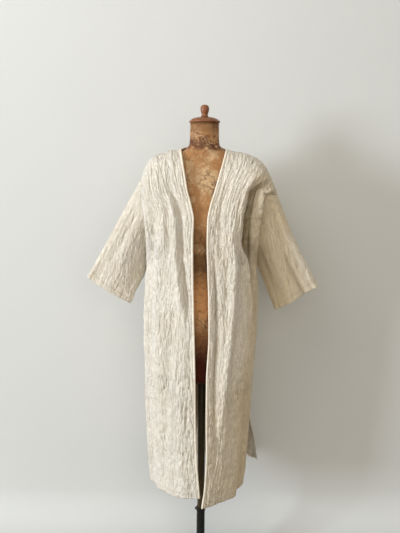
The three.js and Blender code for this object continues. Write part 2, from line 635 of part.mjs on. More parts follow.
// ---------- dress form ----------
function formTorso() {
  const knots = FORM_SECTIONS.map((s) => s.z);
  const read = (name, z) => smoothAt(knots, FORM_SECTIONS.map((s) => s[name]), z);
  const levels = [];
  FORM_SECTIONS.slice(0, -1).forEach((s, k) => {
    const next = FORM_SECTIONS[k + 1].z;
    const count = next - s.z > 70 ? 2 : 1;
    levels.push(...steps(s.z, next, count));
  });
  levels.push(FORM_SECTIONS[FORM_SECTIONS.length - 1].z);
  const rings = levels.map((z) => Array.from({ length: FORM_SEGMENTS }, (_, i) => {
    const angle = (2 * Math.PI * i) / FORM_SEGMENTS;
    const [c, s] = [Math.cos(angle), Math.sin(angle)];
    const reach = s < 0 ? read("front", z) : read("back", z);
    return mm(
      read("wide", z) * Math.sign(c) * Math.abs(c) ** 0.92,
      reach * Math.sign(s) * Math.abs(s) ** 0.92,
      z,
    );
  }));
  return stackedRings(rings);
}

// A closed solid from a stack of rings with flat ends.
function stackedRings(rings) {
  const count = rings[0].length;
  const positions = rings.flat().flatMap((p) => [p.x, p.y, p.z]);
  const index = [];
  rings.slice(1).forEach((_, j) => {
    for (let i = 0; i < count; i++) {
      const [a, b] = [j * count + i, j * count + ((i + 1) % count)];
      index.push(a, b, b + count, a, b + count, a + count);
    }
  });
  const top = (rings.length - 1) * count;
  for (let i = 1; i < count - 1; i++) index.push(0, i + 1, i, top, top + i, top + i + 1);
  return closedGeometry(positions, index);
}

// A turned piece about the Z axis from [radius, height] pairs.
function turned(profile, segments = ROUND_SEGMENTS) {
  const points = profile.map(([r, z]) => new THREE.Vector2(r, z));
  return new THREE.LatheGeometry(points, segments).rotateX(Math.PI / 2);
}

const neckTop = FORM_SECTIONS[FORM_SECTIONS.length - 1].z;
function formCap() {
  const under = neckTop + TOUCH;
  const edge = under + 4;
  const profile = [[0, under], [CAP_RADIUS - 2, under], [CAP_RADIUS, under + 2], [CAP_RADIUS, edge]];
  for (let i = 1; i < 7; i++) {
    const angle = (i / 7) * (Math.PI / 2);
    profile.push([(CAP_RADIUS - 3) * Math.cos(angle), edge + 1 + (CAP_TOP - edge - 1) * Math.sin(angle)]);
  }
  profile.push([8, CAP_TOP], [0, CAP_TOP]);
  return turned(profile);
}

// The knob swells from a short neck to an egg.
function formFinial() {
  const foot = CAP_TOP + TOUCH;
  const shape = [
    { radius: 12.5, up: 0 },
    { radius: 10.6, up: 3 },
    { radius: 10.4, up: 7 },
    { radius: 12.4, up: 13 },
    { radius: 14.2, up: 20 },
    { radius: 14.6, up: 26 },
    { radius: 13.4, up: 32 },
    { radius: 9.8, up: 36.6 },
    { radius: 4.6, up: 38.8 },
  ];
  const profile = [[0, foot], ...shape.map((s) => [s.radius, foot + s.up]), [0, FINIAL_TOP]];
  return turned(profile, 24);
}

// ---------- stand ----------
function ringPiece(bore, radius, low, high, bevel = 0) {
  return turned([[bore, low], [radius - bevel, low], [radius, low + bevel], [radius, high - bevel],
    [radius - bevel, high], [bore, high], [bore, low]].filter((p, i, all) => i === 0
      || p[0] !== all[i - 1][0] || p[1] !== all[i - 1][1]));
}

function standBase() {
  const rim = 9;
  return turned([[0, 0], [BASE_RADIUS - 2, 0], [BASE_RADIUS, 2], [BASE_RADIUS, rim - 2], [BASE_RADIUS - 3, rim],
    [BASE_RADIUS * 0.6, rim + 3], [BASE_RADIUS * 0.25, rim + 7], [26, rim + 11], [22, BASE_HEIGHT], [0, BASE_HEIGHT]], 48);
}

function clampScrew() {
  const head = new THREE.CylinderGeometry(4.5, 4.5, 4, 16).rotateZ(Math.PI / 2);
  return head.translate(-(COLLAR_RADIUS + TOUCH + 2), 0, COLLAR_TOP - COLLAR_HEIGHT / 2);
}

// ---------- materials and the finished group ----------
const finish = (color, roughness, metalness = 0) => new THREE.MeshStandardMaterial({ color, roughness, metalness });
const crinkledCotton = finish(0xe9e2d2, 0.92);
const edgeCotton = finish(0xeee8da, 0.9);
const agedCanvas = finish(0x8d6542, 0.55);
const turnedWood = finish(0x9a5a30, 0.45);
const blackSteel = finish(0x17181a, 0.32, 0.85);
const greySteel = finish(0x3c3a32, 0.42, 0.7);

const group = new THREE.Group();
const piece = (name, geometry, material) => {
  const mesh = new THREE.Mesh(geometry, material);
  mesh.name = name;
  group.add(mesh);
};

piece("back_panel", wall(back, normals.back, CLOTH), crinkledCotton);
for (const side of sides) {
  piece("front_" + side, wall(front[side], normals[side], CLOTH), crinkledCotton);
  piece("sleeve_" + side, wall(sleeve[side], normals["sleeve_" + side], CLOTH, true), crinkledCotton);
  piece("edge_band_" + side, edgeBand(side), edgeCotton);
}
piece("neck_band", neckBand(), edgeCotton);
piece("form_torso", formTorso(), agedCanvas);
piece("form_cap", formCap(), turnedWood);
piece("form_finial", formFinial(), turnedWood);
const tubeFoot = BASE_HEIGHT + TOUCH;
const collarFoot = COLLAR_TOP - COLLAR_HEIGHT;
piece("mast_pole", turned([[0, tubeFoot], [POLE_RADIUS, tubeFoot], [POLE_RADIUS, FORM_SECTIONS[0].z - TOUCH],
  [0, FORM_SECTIONS[0].z - TOUCH]]), greySteel);
piece("stand_tube", ringPiece(TUBE_BORE, TUBE_RADIUS, tubeFoot, collarFoot - TOUCH), blackSteel);
piece("stand_collar", ringPiece(TUBE_BORE, COLLAR_RADIUS, collarFoot, COLLAR_TOP, 1.5), blackSteel);
piece("clamp_screw", clampScrew(), blackSteel);
piece("stand_base", standBase(), blackSteel);

export default group;
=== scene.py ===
"""Dresses the frame of a long haori on a dress form: cloth, bands, stitching, the aged form and its stand.

Laid out as a Blender add-on and run as a script. Tables of sections and folds are in millimetres, as on a
pattern; everything that Blender gets is in metres.
"""

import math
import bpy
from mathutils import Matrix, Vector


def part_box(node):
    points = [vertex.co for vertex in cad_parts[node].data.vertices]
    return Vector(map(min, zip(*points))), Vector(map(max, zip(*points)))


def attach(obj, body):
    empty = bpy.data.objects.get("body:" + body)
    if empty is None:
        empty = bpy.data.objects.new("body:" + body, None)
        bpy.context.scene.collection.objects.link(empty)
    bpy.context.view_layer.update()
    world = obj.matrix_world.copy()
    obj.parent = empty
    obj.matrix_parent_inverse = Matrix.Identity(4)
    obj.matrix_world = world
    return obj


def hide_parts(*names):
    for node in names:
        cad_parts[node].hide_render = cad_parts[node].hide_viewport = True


bl_info = {
    "name": "Long Haori on a Dress Form",
    "version": (1, 0, 0),
    "blender": (4, 5, 0),
    "location": "3D View > Sidebar > Haori",
    "description": "Makes a long crinkled cotton haori, the dress form that wears it and its stand",
    "category": "Add Mesh",
}

import bmesh
import bpy
import numpy as np
from mathutils import Matrix, Vector

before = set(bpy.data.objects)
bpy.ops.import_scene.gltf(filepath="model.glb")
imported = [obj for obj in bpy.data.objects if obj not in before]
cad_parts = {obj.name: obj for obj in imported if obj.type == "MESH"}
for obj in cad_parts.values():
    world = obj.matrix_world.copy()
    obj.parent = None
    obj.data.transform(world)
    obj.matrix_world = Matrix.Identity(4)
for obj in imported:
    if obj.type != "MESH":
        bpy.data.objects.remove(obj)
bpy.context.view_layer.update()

MM = 0.001
FORM_BODY = "form"
STAND_BODY = "stand"
SIDES = {"left": 1, "right": -1}
# Points closer than this are one, in metres.
WELD_REACH = 1e-6

# ---------- where the cloth hangs ----------
# Rows count from the hem, 0, to the shoulder seam, 1.
SHOULDER_ROW = 0.885
UNDERARM_ROW = 0.68
VENT_ROW = 0.24
NECK_SHARE = 0.24
# How sharply the cloth turns over the shoulder, how much of its slope it keeps, its least rise in mm.
SHOULDER_SHARP = 1.1
SHOULDER_LEAN = 0.8
LEAST_RISE = 20

# One section of a front panel per line: row, front edge, soft corner, side, how sharp the corner is.
FRONT_SECTIONS = {
    "left": (
        (0.0, (2, -136, 285), (118, -90, 291), (154, 34, 298), 1.3),
        (0.06, (11, -134, 358), (122, -93, 360), (160, 28, 366), 1.2),
        (0.15, (16, -131, 468), (126, -98, 468), (167, 18, 470), 1.1),
        (0.27, (14, -129, 613), (136, -104, 613), (174, 13, 613), 1.0),
        (0.37, (14, -127, 735), (152, -108, 735), (181, 14, 733), 0.95),
        (0.49, (20, -127, 880), (174, -114, 880), (190, 14, 878), 0.9),
        (0.6, (18, -126, 1012), (182, -118, 1010), (192, 16, 1006), 0.9),
        (0.68, (14, -125, 1110), (182, -118, 1110), (185, 14, 1110), 0.9),
        (0.76, (11, -123, 1206), (180, -120, 1205), (186, -42, 1206), 0.9),
        (0.81, (12, -121, 1267), (184, -118, 1268), (191, -60, 1268), 1.0),
        (0.85, (20, -114, 1315), (190, -112, 1318), (197, -68, 1312), 1.1),
        (0.885, (34, -101, 1360), (196, -104, 1364), (203, -66, 1356), 1.2),
        (1.0, (72.5, 0, 1497), (199, 0, 1478), (246, 0, 1351), 2.6),
    ),
    "right": (
        (0.0, (5, -124, 317), (134, -124, 306), (186, 34, 305), 0.8),
        (0.06, (9, -128, 368), (140, -124, 364), (189, 26, 366), 0.8),
        (0.15, (17, -130, 468), (150, -126, 468), (195, 16, 470), 0.8),
        (0.27, (22, -129, 613), (165, -127, 613), (200, 14, 613), 0.85),
        (0.37, (24, -128, 735), (180, -129, 735), (202, 14, 733), 0.9),
        (0.49, (28, -127, 880), (190, -122, 880), (201, 15, 878), 0.9),
        (0.6, (32, -126, 1012), (194, -122, 1010), (194, 16, 1006), 0.9),
        (0.68, (34, -125, 1110), (192, -121, 1109), (187, 14, 1112), 0.9),
        (0.76, (35, -123, 1206), (191, -121, 1205), (189, -42, 1206), 0.9),
        (0.81, (33, -121, 1270), (196, -119, 1268), (196, -62, 1257), 1.0),
        (0.85, (41, -114, 1315), (199, -114, 1318), (200, -70, 1290), 1.1),
        (0.885, (54, -101, 1360), (203, -105, 1364), (207, -66, 1320), 1.2),
        (1.0, (78, 0, 1498), (188, 0, 1481), (208, 0, 1404), 1.9),
    ),
}
# One section of the back per line: row, middle of the back.
BACK_MIDDLE = (
    (0.0, (0, 186, 338)), (0.12, (0, 174, 434)), (0.24, (0, 163, 577)), (0.37, (0, 154, 735)),
    (0.49, (0, 146, 880)), (0.6, (0, 138, 1012)), (0.68, (0, 133, 1110)), (0.76, (0, 130, 1206)),
    (0.81, (0, 126, 1268)), (0.85, (0, 120, 1318)), (0.885, (0, 111, 1366)),
)
# Row, soft corner, side (None where the side seam joins the front), how sharp the corner is.
BACK_SIDES = {
    "left": (
        (0.0, (222, 208, 350), (213, 124, 342), 0.9), (0.12, (208, 190, 440), (194, 84, 450), 0.9),
        (0.24, (198, 176, 578), None, 0.9), (0.37, (196, 164, 735), None, 0.9),
        (0.49, (202, 158, 880), None, 0.9), (0.6, (204, 150, 1010), None, 0.9),
        (0.68, (198, 144, 1108), None, 0.9), (0.76, (194, 138, 1205), (190, 46, 1206), 0.9),
        (0.81, (196, 132, 1268), (195, 62, 1268), 1.0), (0.85, (199, 126, 1318), (201, 70, 1312), 1.1),
        (0.885, (203, 116, 1364), (207, 67, 1356), 1.2),
    ),
    "right": (
        (0.0, (200, 206, 332), (190, 112, 324), 0.9), (0.12, (204, 190, 440), (196, 78, 450), 0.9),
        (0.24, (208, 176, 578), None, 0.9), (0.37, (210, 164, 735), None, 0.9),
        (0.49, (210, 158, 880), None, 0.9), (0.6, (206, 150, 1010), None, 0.9),
        (0.68, (202, 144, 1108), None, 0.9), (0.76, (199, 138, 1205), (194, 46, 1200), 0.9),
        (0.81, (199, 132, 1268), (198, 64, 1257), 1.0), (0.85, (200, 126, 1318), (201, 72, 1290), 1.1),
        (0.885, (204, 116, 1364), (208, 68, 1320), 1.2),
    ),
}
BACK_NECK = (0, 64, 1511)
# Cuffs: top end, lower end, half thickness, sag of the sleeve's top.
CUFFS = {
    "left": ((400, 14, 1040), (253, 14, 951), 26, 9),
    "right": ((398, -4, 1062), (256, -4, 977), 26, 2),
}

# ---------- folds ----------
# One fold per line: from (share across, row), to (share across, row), width and height at both ends.
FOLDS = {
    "front_left": (
        ((0.665, 0.95), (0.565, 0.7), (10, 14), (-12, -30)),
        ((0.8, 0.97), (0.76, 0.6), (20, 26), (-24, -30)),
        ((0.76, 0.76), (0.9, 0.44), (20, 18), (-13, -18)),
        ((0.6, 0.94), (0.515, 0.69), (10, 9), (6, 14)),
        ((0.52, 0.76), (0.68, 0.5), (9, 10), (8, 7)),
        ((0.42, 0.88), (0.22, 0.12), (13, 18), (11, 6)),
        ((0.53, 0.82), (0.37, 0.3), (12, 14), (-8, -6)),
        ((0.08, 0.78), (0.15, 0.06), (10, 15), (-12, -9)),
        ((0.2, 0.93), (0.19, 0.68), (10, 10), (-5, -5)),
        ((0.62, 0.5), (0.55, -0.1), (18, 26), (4, 9)),
        ((0.74, 0.42), (0.76, -0.1), (18, 24), (-5, -9)),
        ((0.92, 0.95), (0.9, 0.8), (12, 16), (5, 10)),
    ),
    "front_right": (
        ((0.42, 0.93), (0.1, 0.5), (10, 11), (8, 10)),
        ((0.32, 0.93), (0.0, 0.5), (10, 11), (-9, -11)),
        ((0.05, 0.5), (0.07, 0.34), (8, 8), (-7, -5)),
        ((0.55, 0.93), (0.5, 0.3), (18, 22), (6, 9)),
        ((0.24, 0.64), (0.58, -0.05), (11, 17), (-4, -8)),
        ((0.7, 0.9), (0.7, 0.05), (14, 18), (-6, -8)),
        ((0.84, 0.93), (0.82, 0.35), (16, 20), (9, 8)),
        ((0.95, 0.93), (0.98, 0.62), (12, 18), (-9, -22)),
        ((0.2, 0.4), (0.24, -0.1), (16, 20), (4, 6)),
        ((0.84, 0.4), (0.84, -0.1), (18, 24), (-4, -9)),
    ),
}
# The back's folds on one half, each with its mirror image on the other, apart from one down the middle.
BACK_FOLDS = (
    ((0.06, 0.82), (0.08, 0.46), (20, 22), (-16, -10)),
    ((0.16, 0.95), (0.17, 0.1), (20, 28), (8, 12)),
    ((0.27, 0.88), (0.25, -0.1), (16, 22), (-7, -16)),
    ((0.37, 0.84), (0.36, -0.1), (18, 26), (5, 14)),
    ((0.1, 0.45), (0.09, -0.1), (16, 24), (-5, -12)),
)
BACK_MIDDLE_FOLD = ((0.5, 0.8), (0.49, -0.1), (18, 26), (-5, -14))
# Smaller creases that only the cloth of the scene has; the first on the right makes a fold shallower.
CREASES = {
    "front_left": (
        ((0.345, 0.74), (0.235, 0.24), (9, 10), (6, 7)),
        ((0.42, 0.70), (0.355, 0.36), (8, 9), (-4, -5)),
    ),
    "front_right": (
        ((0.95, 0.93), (0.98, 0.62), (12, 18), (4, 10)),
        ((0.885, 0.34), (0.80, 0.03), (4, 5), (-5, -6)),
        ((0.60, 0.36), (0.66, 0.17), (5, 6), (-4, -5)),
        ((0.72, 0.30), (0.64, 0.10), (5, 6), (4, 4)),
    ),
}
# One fold along a sleeve per line: share round the tube at armhole and cuff, where along the sleeve it
# starts and ends, width and height at both ends. 0 is the top, 0.25 the front, 0.5 the underside.
SLEEVE_BACK_FOLDS = (
    ((0.62, 0.62), (-0.1, 1.2), (18, 16), (-8, -6)),
    ((0.74, 0.74), (-0.1, 1.2), (18, 16), (6, 6)),
    ((0.86, 0.86), (-0.1, 1.2), (18, 16), (-6, -5)),
)
SLEEVE_FOLDS = {
    "left": (
        ((0.08, 0.09), (0.4, 1.3), (11, 13), (3, 9)),
        ((0.19, 0.2), (0.4, 1.3), (12, 16), (-3, -11)),
        ((0.27, 0.3), (0.1, 1.2), (16, 16), (3, 4)),
        ((0.4, 0.38), (-0.1, 0.9), (16, 14), (-9, -4)),
    ),
    "right": (
        ((0.07, 0.1), (0.05, 1.2), (9, 13), (-4, -8)),
        ((0.18, 0.17), (0.02, 0.8), (7, 9), (-5, -5)),
        ((0.23, 0.26), (0.1, 1.2), (12, 15), (2, 3)),
        ((0.45, 0.46), (0.0, 1.2), (22, 24), (9, 9)),
    ),
}
# Share of a sleeve over which its folds rise, and which way its top sags: inwards and down.
SLEEVE_CALM = 0.2
SAG_WAY = (-0.85, 0, -0.5)
# How much of a fold's length it takes to rise at each end.
FOLD_FADE = 0.22
# Millimetres from a side seam, a front edge and any sewn border within which folds or crinkle fade out.
SIDE_CALM = 26
EDGE_CALM = 30
SEAM_CALM = 10
# Millimetres round a sleeve for its folds and stripes, and across a panel for its stripes.
SLEEVE_GIRTH = 480
PANEL_WIDTH = 300
# How much of the crinkle a sleeve has.
CRINKLE_SHARE = {"sleeve_left": 0.45, "sleeve_right": 0.8}

# Columns and rows that the cloth round a point is averaged over, and the millimetres of a full hollow.
HOLLOW_REACH = ((9, 4), (9, 4))
HOLLOW_DEPTH = 11
# Depth in millimetres where a fold starts to darken, and how much deeper it is darkest.
FOLD_SHADE = (18, 18)
# Soft stripes laid out as folds are: how much painted warm shade tint they add to the cloth, negative for
# painted light, and how much painted shade darkens it.
PAINTED_TINT_STRIPES = {
    "front_left": (
        ((0.5, 0.45), (0.5, -0.35), (200, 260), (0.3, 0.5)),
        ((0.5, 1.25), (0.5, -0.25), (400, 400), (0.16, 0.16)),
    ),
    "sleeve_left": (
        ((0.07, 0.25), (0.08, 1.25), (24, 76), (-0.5, -0.6)),
    ),
}
# Painted shade: dark stripes for the shade of the underarm pocket, beside the left front's edge and along
# the sleeves' folds and undersides.
PAINTED_SHADE_STRIPES = {
    "front_left": (
        ((0.085, 0.75), (0.11, 0.2), (6, 8), (0.3, 0.3)),
        ((0.70, 0.965), (0.605, 0.68), (7, 13), (0.75, 0.9)),
        ((0.75, 0.96), (0.67, 0.64), (17, 26), (0.65, 0.9)),
        ((0.74, 0.79), (0.77, 0.60), (30, 26), (0.9, 0.9)),
        ((0.88, 1.05), (0.98, 0.88), (14, 16), (0.4, 0.45)),
    ),
    "sleeve_left": (
        ((0.44, -0.15), (0.40, 1.0), (22, 16), (0.35, 0.25)),
        ((0.19, 0.15), (0.20, 1.2), (12, 20), (0.30, 0.25)),
    ),
    "sleeve_right": (
        ((0.12, -0.1), (0.125, 1.2), (12, 16), (0.42, 0.5)),
        ((0.24, 0.9), (0.22, 1.3), (14, 24), (0.1, 0.2)),
    ),
}
# Painted warm shade tint, the colour the cotton takes in shade, laid on the shaded pieces and sides: share
# across where it starts and ends, and how much.
SHADE_SIDE_TINT = {"front_left": (0.42, 0.72, 0.6), "front_right": (0.85, 1.0, 0.12), "back_panel": (0.0, 0.1, 0.45),
        "sleeve_left": (0.0, 0.1, 0.95), "sleeve_right": (0.0, 0.1, 0.22)}

# Sewing in metres: the turned-up hem and the step where it ends, where the stitches of hem and edge lie,
# half their width, and where a seam's groove starts to rise and ends. Stitches turn 2 pi in 6 mm.
HEM_WIDTH = 0.020
HEM_STEP = 0.0012
HEM_STITCH = HEM_WIDTH - 0.0015
EDGE_STITCH = 0.0085
STITCH_HALF = 0.0008
SEAM_GROOVE = (0.0004, 0.0024)
STITCH_TURN = 1047.0

# How square the form's plan is, 1 for a plain oval, and the cloth's least distance from it in millimetres.
FORM_ROUND = 0.92
FORM_CLEARANCE = 2.4

# Each kind of panel: the seed of its crinkle and its flat size in metres.
CUTS = {"front": (10, (0.31, 1.25)), "sleeve": (40, (0.46, 0.33)), "back": (69, (0.66, 1.25))}

# Counts of steps: the cloth's rows, a section's curve, each panel's columns, round and along a sleeve, the
# columns beside an edge that its band is laid out from, the cells of the noise, the form's rows and columns.
ROW_COUNT = 240
CONIC_STEPS = 192
FRONT_COLUMNS = 196
BACK_COLUMNS = 200
SLEEVE_ROUND = 240
SLEEVE_ALONG = 150
BAND_STRIP = 8
NOISE_CELLS = 128
FORM_ROWS = 150
FORM_COLUMNS = 128


# ---------- settings ----------
def colour_setting(name, description, red, green, blue):
    """A colour that a user can change."""
    return bpy.props.FloatVectorProperty(
        name=name, description=description, subtype="COLOR", size=4, min=0, max=1,
        default=(red, green, blue, 1.0))


def size_setting(name, description, metres):
    """A size that a user can change."""
    return bpy.props.FloatProperty(name=name, description=description, default=metres, min=0, unit="LENGTH")


def power_setting(name, description, watts):
    """The power of a light."""
    return bpy.props.FloatProperty(name=name, description=description, default=watts, unit="POWER")


class HaoriClothSettings(bpy.types.PropertyGroup):
    """Sizes and colour of the cotton."""

    thickness: size_setting("Cloth", "Thickness of the cotton", 0.0016)
    crinkle: size_setting("Crinkle", "Height of the cotton's fine creases", 0.0040)
    band_width: size_setting("Band", "Width of the band along the front edges and neck", 0.0048)
    colour: colour_setting("Cotton", "Colour of the cotton", 0.955, 0.90, 0.812)
    # Painted shade: the warm tint of the cotton in shade, laid on the shaded pieces; the bands use it for
    # random yellowing.
    aged: colour_setting("Yellowed tone", "Colour of the cotton where it has yellowed", 0.86, 0.715, 0.50)
    # Painted shade: the colour that the crinkle's creases, thin crease lines and seam grooves are darkened
    # towards.
    shade: colour_setting("Crease tone", "Colour of the cotton deep in its creases", 0.58, 0.48, 0.345)
    # Painted shade: the dark colour of hollow places, deep folds and the painted shade stripes.
    painted_hollow_colour: colour_setting("Tuck tone", "Colour of the cotton in the deepest tucks", 0.285, 0.214, 0.115)


class HaoriFormSettings(bpy.types.PropertyGroup):
    """Colours of the dress form."""

    canvas: colour_setting("Canvas", "Main colour of the aged canvas", 0.44, 0.219, 0.09)
    worn: colour_setting("Worn canvas", "Colour where the varnish has worn off", 0.65, 0.435, 0.24)
    # Real stains and cracks, and also painted shade on the lower body and painted shadow under the cap.
    stain_and_shade: colour_setting("Stain", "Colour of stains and cracks", 0.065, 0.008, 0.002)
    wood: colour_setting("Wood", "Colour of the turned wood", 0.30, 0.105, 0.036)


class HaoriStandSettings(bpy.types.PropertyGroup):
    """Colours of the stand."""

    pole: colour_setting("Pole", "Colour of the inner pole", 0.075, 0.055, 0.026)
    paint: colour_setting("Paint", "Colour of the gloss paint", 0.012, 0.013, 0.014)


class HaoriStageSettings(bpy.types.PropertyGroup):
    """Light and background."""

    window: power_setting("Window", "Power of the large soft light", 440.0)
    room_light: power_setting("Room light", "Power of the broad light from the front", 42.0)
    ceiling: power_setting("Ceiling", "Power of the soft light from above", 13.0)
    room: bpy.props.FloatProperty(
        name="Room", description="Strength of the light from all round", default=0.495, min=0)
    wall: colour_setting("Wall", "Colour of the wall", 0.726, 0.735, 0.728)
    floor: colour_setting("Floor", "Colour of the floor", 0.33, 0.28, 0.22)


# ---------- curves ----------
def lengths_along(points):
    """Length from a polyline's first point to each of its points."""
    gaps = np.linalg.norm(np.diff(points, axis=0), axis=1)
    return np.concatenate([[0.0], np.cumsum(gaps)])


def at_shares(points, shares):
    """Points of a polyline at shares of its length."""
    along = lengths_along(points)
    wanted = np.asarray(shares) * along[-1]
    return np.column_stack([np.interp(wanted, along, points[:, axis]) for axis in range(3)])


def conic(start, corner, end, sharp, shares):
    """A conic from start to end round a corner."""
    u = np.linspace(0, 1, CONIC_STEPS + 1)[:, None]
    weights = np.hstack([(1 - u) ** 2, 2 * u * (1 - u) * sharp, u**2])
    weights /= weights.sum(axis=1, keepdims=True)
    return at_shares(weights @ np.array([start, corner, end], float), shares)


def smooth_rows(knots, rows, at):
    """Rows of points at knots, read at other rows by a curve with no more bumps than the rows have."""
    knots = np.asarray(knots, float)
    values = np.stack(rows)
    chords = np.diff(values, axis=0) / np.diff(knots)[:, None, None]
    product = chords[:-1] * chords[1:]
    total = chords[:-1] + chords[1:]
    inner = np.where(product > 0, 2 * product / np.where(total == 0, 1, total), 0)
    slopes = np.concatenate([chords[:1], inner, chords[-1:]])
    k = np.clip(np.searchsorted(knots, at, side="right") - 1, 0, len(knots) - 2)
    width = (knots[k + 1] - knots[k])[:, None, None]
    u = np.clip((at - knots[k])[:, None, None] / width, 0, 1)
    return (values[k] * (2 * u**3 - 3 * u**2 + 1) + slopes[k] * width * (u**3 - 2 * u**2 + u)
            + values[k + 1] * (3 * u**2 - 2 * u**3) + slopes[k + 1] * width * (u**3 - u**2))


def smoothstep(t):
    """An even rise from 0 to 1 while t goes from 0 to 1."""
    u = np.clip(t, 0, 1)
    return u * u * (3 - 2 * u)


# ---------- panels as grids of points ----------
ROWS = np.linspace(0, 1, ROW_COUNT + 1)


def over_shoulder(before, below, top, rows):
    """Rows that run on at the cloth's own slope, round over and lie level at the shoulder seam."""
    u = ((rows - SHOULDER_ROW) / (1 - SHOULDER_ROW))[:, None, None]
    rise = top[:, 2] - below[:, 2]
    slope = (below[:, 1] - before[:, 1]) / np.maximum(below[:, 2] - before[:, 2], LEAST_RISE)
    corner = np.column_stack([top[:, 0], below[:, 1] + slope * rise * SHOULDER_LEAN, top[:, 2]])
    weights = [(1 - u) ** 2, 2 * u * (1 - u) * SHOULDER_SHARP, u**2]
    return (weights[0] * below + weights[1] * corner + weights[2] * top) / sum(weights)


def panel_rows(knots, rows, top):
    """The whole grid of a panel, from its hem to its shoulder seam."""
    low = ROWS[ROWS <= SHOULDER_ROW]
    high = ROWS[ROWS > SHOULDER_ROW]
    return np.concatenate([smooth_rows(knots, rows, low), over_shoulder(rows[-2], rows[-1], top, high)])


def front_grid(side):
    """A front panel from its front edge to its side, with x counted outwards."""
    shares = np.linspace(0, 1, FRONT_COLUMNS + 1)
    sections = FRONT_SECTIONS[side]
    rows = [conic(edge, corner, outer, sharp, shares) for _, edge, corner, outer, sharp in sections]
    return panel_rows([s[0] for s in sections[:-1]], rows[:-1], rows[-1])


def back_half(side, seam):
    """Half of the back from its middle outwards; seam is the front panel's own side."""
    shares = np.linspace(0, 1, BACK_COLUMNS // 2 + 1)
    rows = []
    for (row, middle), (_, corner, outer, sharp) in zip(BACK_MIDDLE, BACK_SIDES[side]):
        if outer is None:
            outer = tuple(np.interp(row, ROWS, seam[:, axis]) for axis in range(3))
        rows.append(conic(middle, corner, outer, sharp, shares))
    _, neck_end, corner, outer, sharp = FRONT_SECTIONS[side][-1]
    neck = shares[shares < NECK_SHARE] / NECK_SHARE * math.pi / 2
    neckline = np.column_stack([
        neck_end[0] * np.sin(neck),
        neck_end[1] + (BACK_NECK[1] - neck_end[1]) * np.cos(neck),
        neck_end[2] + (BACK_NECK[2] - neck_end[2]) * np.cos(neck),
    ])
    over = (shares[shares >= NECK_SHARE] - NECK_SHARE) / (1 - NECK_SHARE)
    top = np.concatenate([neckline, conic(neck_end, corner, outer, sharp, over)])
    grid = panel_rows([row for row, _ in BACK_MIDDLE], rows, top)
    joined = (ROWS >= VENT_ROW) & (ROWS <= UNDERARM_ROW)
    grid[joined, -1] = seam[joined]
    return grid


def mirrored(grid):
    """The grid on the other side of the body."""
    return grid * np.array([-1, 1, 1])


def grid_normals(grid, closed=False):
    """Unit normals of a grid; they face out of a left front panel."""
    if closed:
        across = np.roll(grid, -1, axis=1) - np.roll(grid, 1, axis=1)
    else:
        across = np.gradient(grid, axis=1)
    normals = np.cross(across, np.gradient(grid, axis=0))
    return normals / np.linalg.norm(normals, axis=2, keepdims=True)


def cloth_places(grid):
    """Each point's place on the flat cloth in millimetres: across and up."""
    across = np.linalg.norm(np.diff(grid, axis=1), axis=2)
    across = np.concatenate([np.zeros((len(grid), 1)), np.cumsum(across, axis=1)], axis=1)
    up = np.linalg.norm(np.diff(grid, axis=0), axis=2).mean(axis=1)
    up = np.concatenate([[0.0], np.cumsum(up)])
    return across, np.broadcast_to(up[:, None], across.shape)


def fold_height(fold, across, row, length):
    """How far one fold moves the cloth: across and row are shares, length is the cloth's width."""
    (s0, r0), (s1, r1), (w0, w1), (h0, h1) = fold
    t = (row - r0) / (r1 - r0)
    inside = (t >= 0) & (t <= 1)
    t = np.clip(t, 0, 1)
    centre = s0 + (s1 - s0) * t
    wide = w0 + (w1 - w0) * t
    height = h0 + (h1 - h0) * t
    fade = smoothstep(t / FOLD_FADE) * smoothstep((1 - t) / FOLD_FADE)
    return inside * height * fade * np.exp(-(((across - centre) * length / wide) ** 2))


def front_quiet(distance, length, row):
    """Folds fade towards the side seam, the front edge and the shoulder seam."""
    from_side = smoothstep((length - distance) / SIDE_CALM)
    from_edge = 0.15 + 0.85 * smoothstep(distance / EDGE_CALM)
    return from_side * from_edge * smoothstep((1 - row) / 0.05)


def back_quiet(distance, length, row):
    """Folds fade towards both sides and the shoulder seam."""
    from_side = smoothstep(distance / SIDE_CALM) * smoothstep((length - distance) / SIDE_CALM)
    return from_side * smoothstep((1 - row) / 0.06)


def folded(grid, folds, facing, quiet):
    """The grid with its folds pressed in or drawn out along the normals, and how far out each point went."""
    along, _ = cloth_places(grid)
    length = along[:, -1:]
    row = ROWS[:, None]
    out = sum(fold_height(fold, along / length, row, length) for fold in folds)
    out = out * quiet(along, length, row)
    return grid + grid_normals(grid) * (facing * out)[:, :, None], out


# ---------- crinkle ----------
def value_noise(x, y, seed):
    """Smooth noise from 0 to 1."""
    table = np.random.default_rng(seed).random((NOISE_CELLS, NOISE_CELLS))
    xi, yi = np.floor(x).astype(int), np.floor(y).astype(int)
    fx, fy = smoothstep(x - xi), smoothstep(y - yi)
    corner = [[table[(yi + j) % NOISE_CELLS, (xi + i) % NOISE_CELLS] for i in (0, 1)] for j in (0, 1)]
    low = corner[0][0] * (1 - fx) + corner[0][1] * fx
    high = corner[1][0] * (1 - fx) + corner[1][1] * fx
    return low * (1 - fy) + high * fy


def ridged(x, y, seed):
    """Noise with sharp crests."""
    return 1 - np.abs(2 * value_noise(x, y, seed) - 1)


# Layers of the crinkle: width and length of a crease in millimetres, how narrow its crest is, its share.
CRINKLE_LAYERS = ((12, 75, 2.0, 0.30), (6.4, 34, 3.2, -0.95), (3.9, 17, 1.6, 0.55))
# Slow noise over the cloth: width and length of its patches in millimetres, and its step from the seed.
SWAY_PATCH = (40, 50, 0)
SHIFT_PATCH = (22, 200, 1)
SWELL_PATCH = (34, 120, 5)
CROSSED_PATCH = (70, 90, 6)
STRENGTH_PATCH = (48, 100, 8)
# Height in millimetres below which creases start to cross each other, and over how far they do.
CROSSED_BELOW = 520
CROSSED_OVER = 260


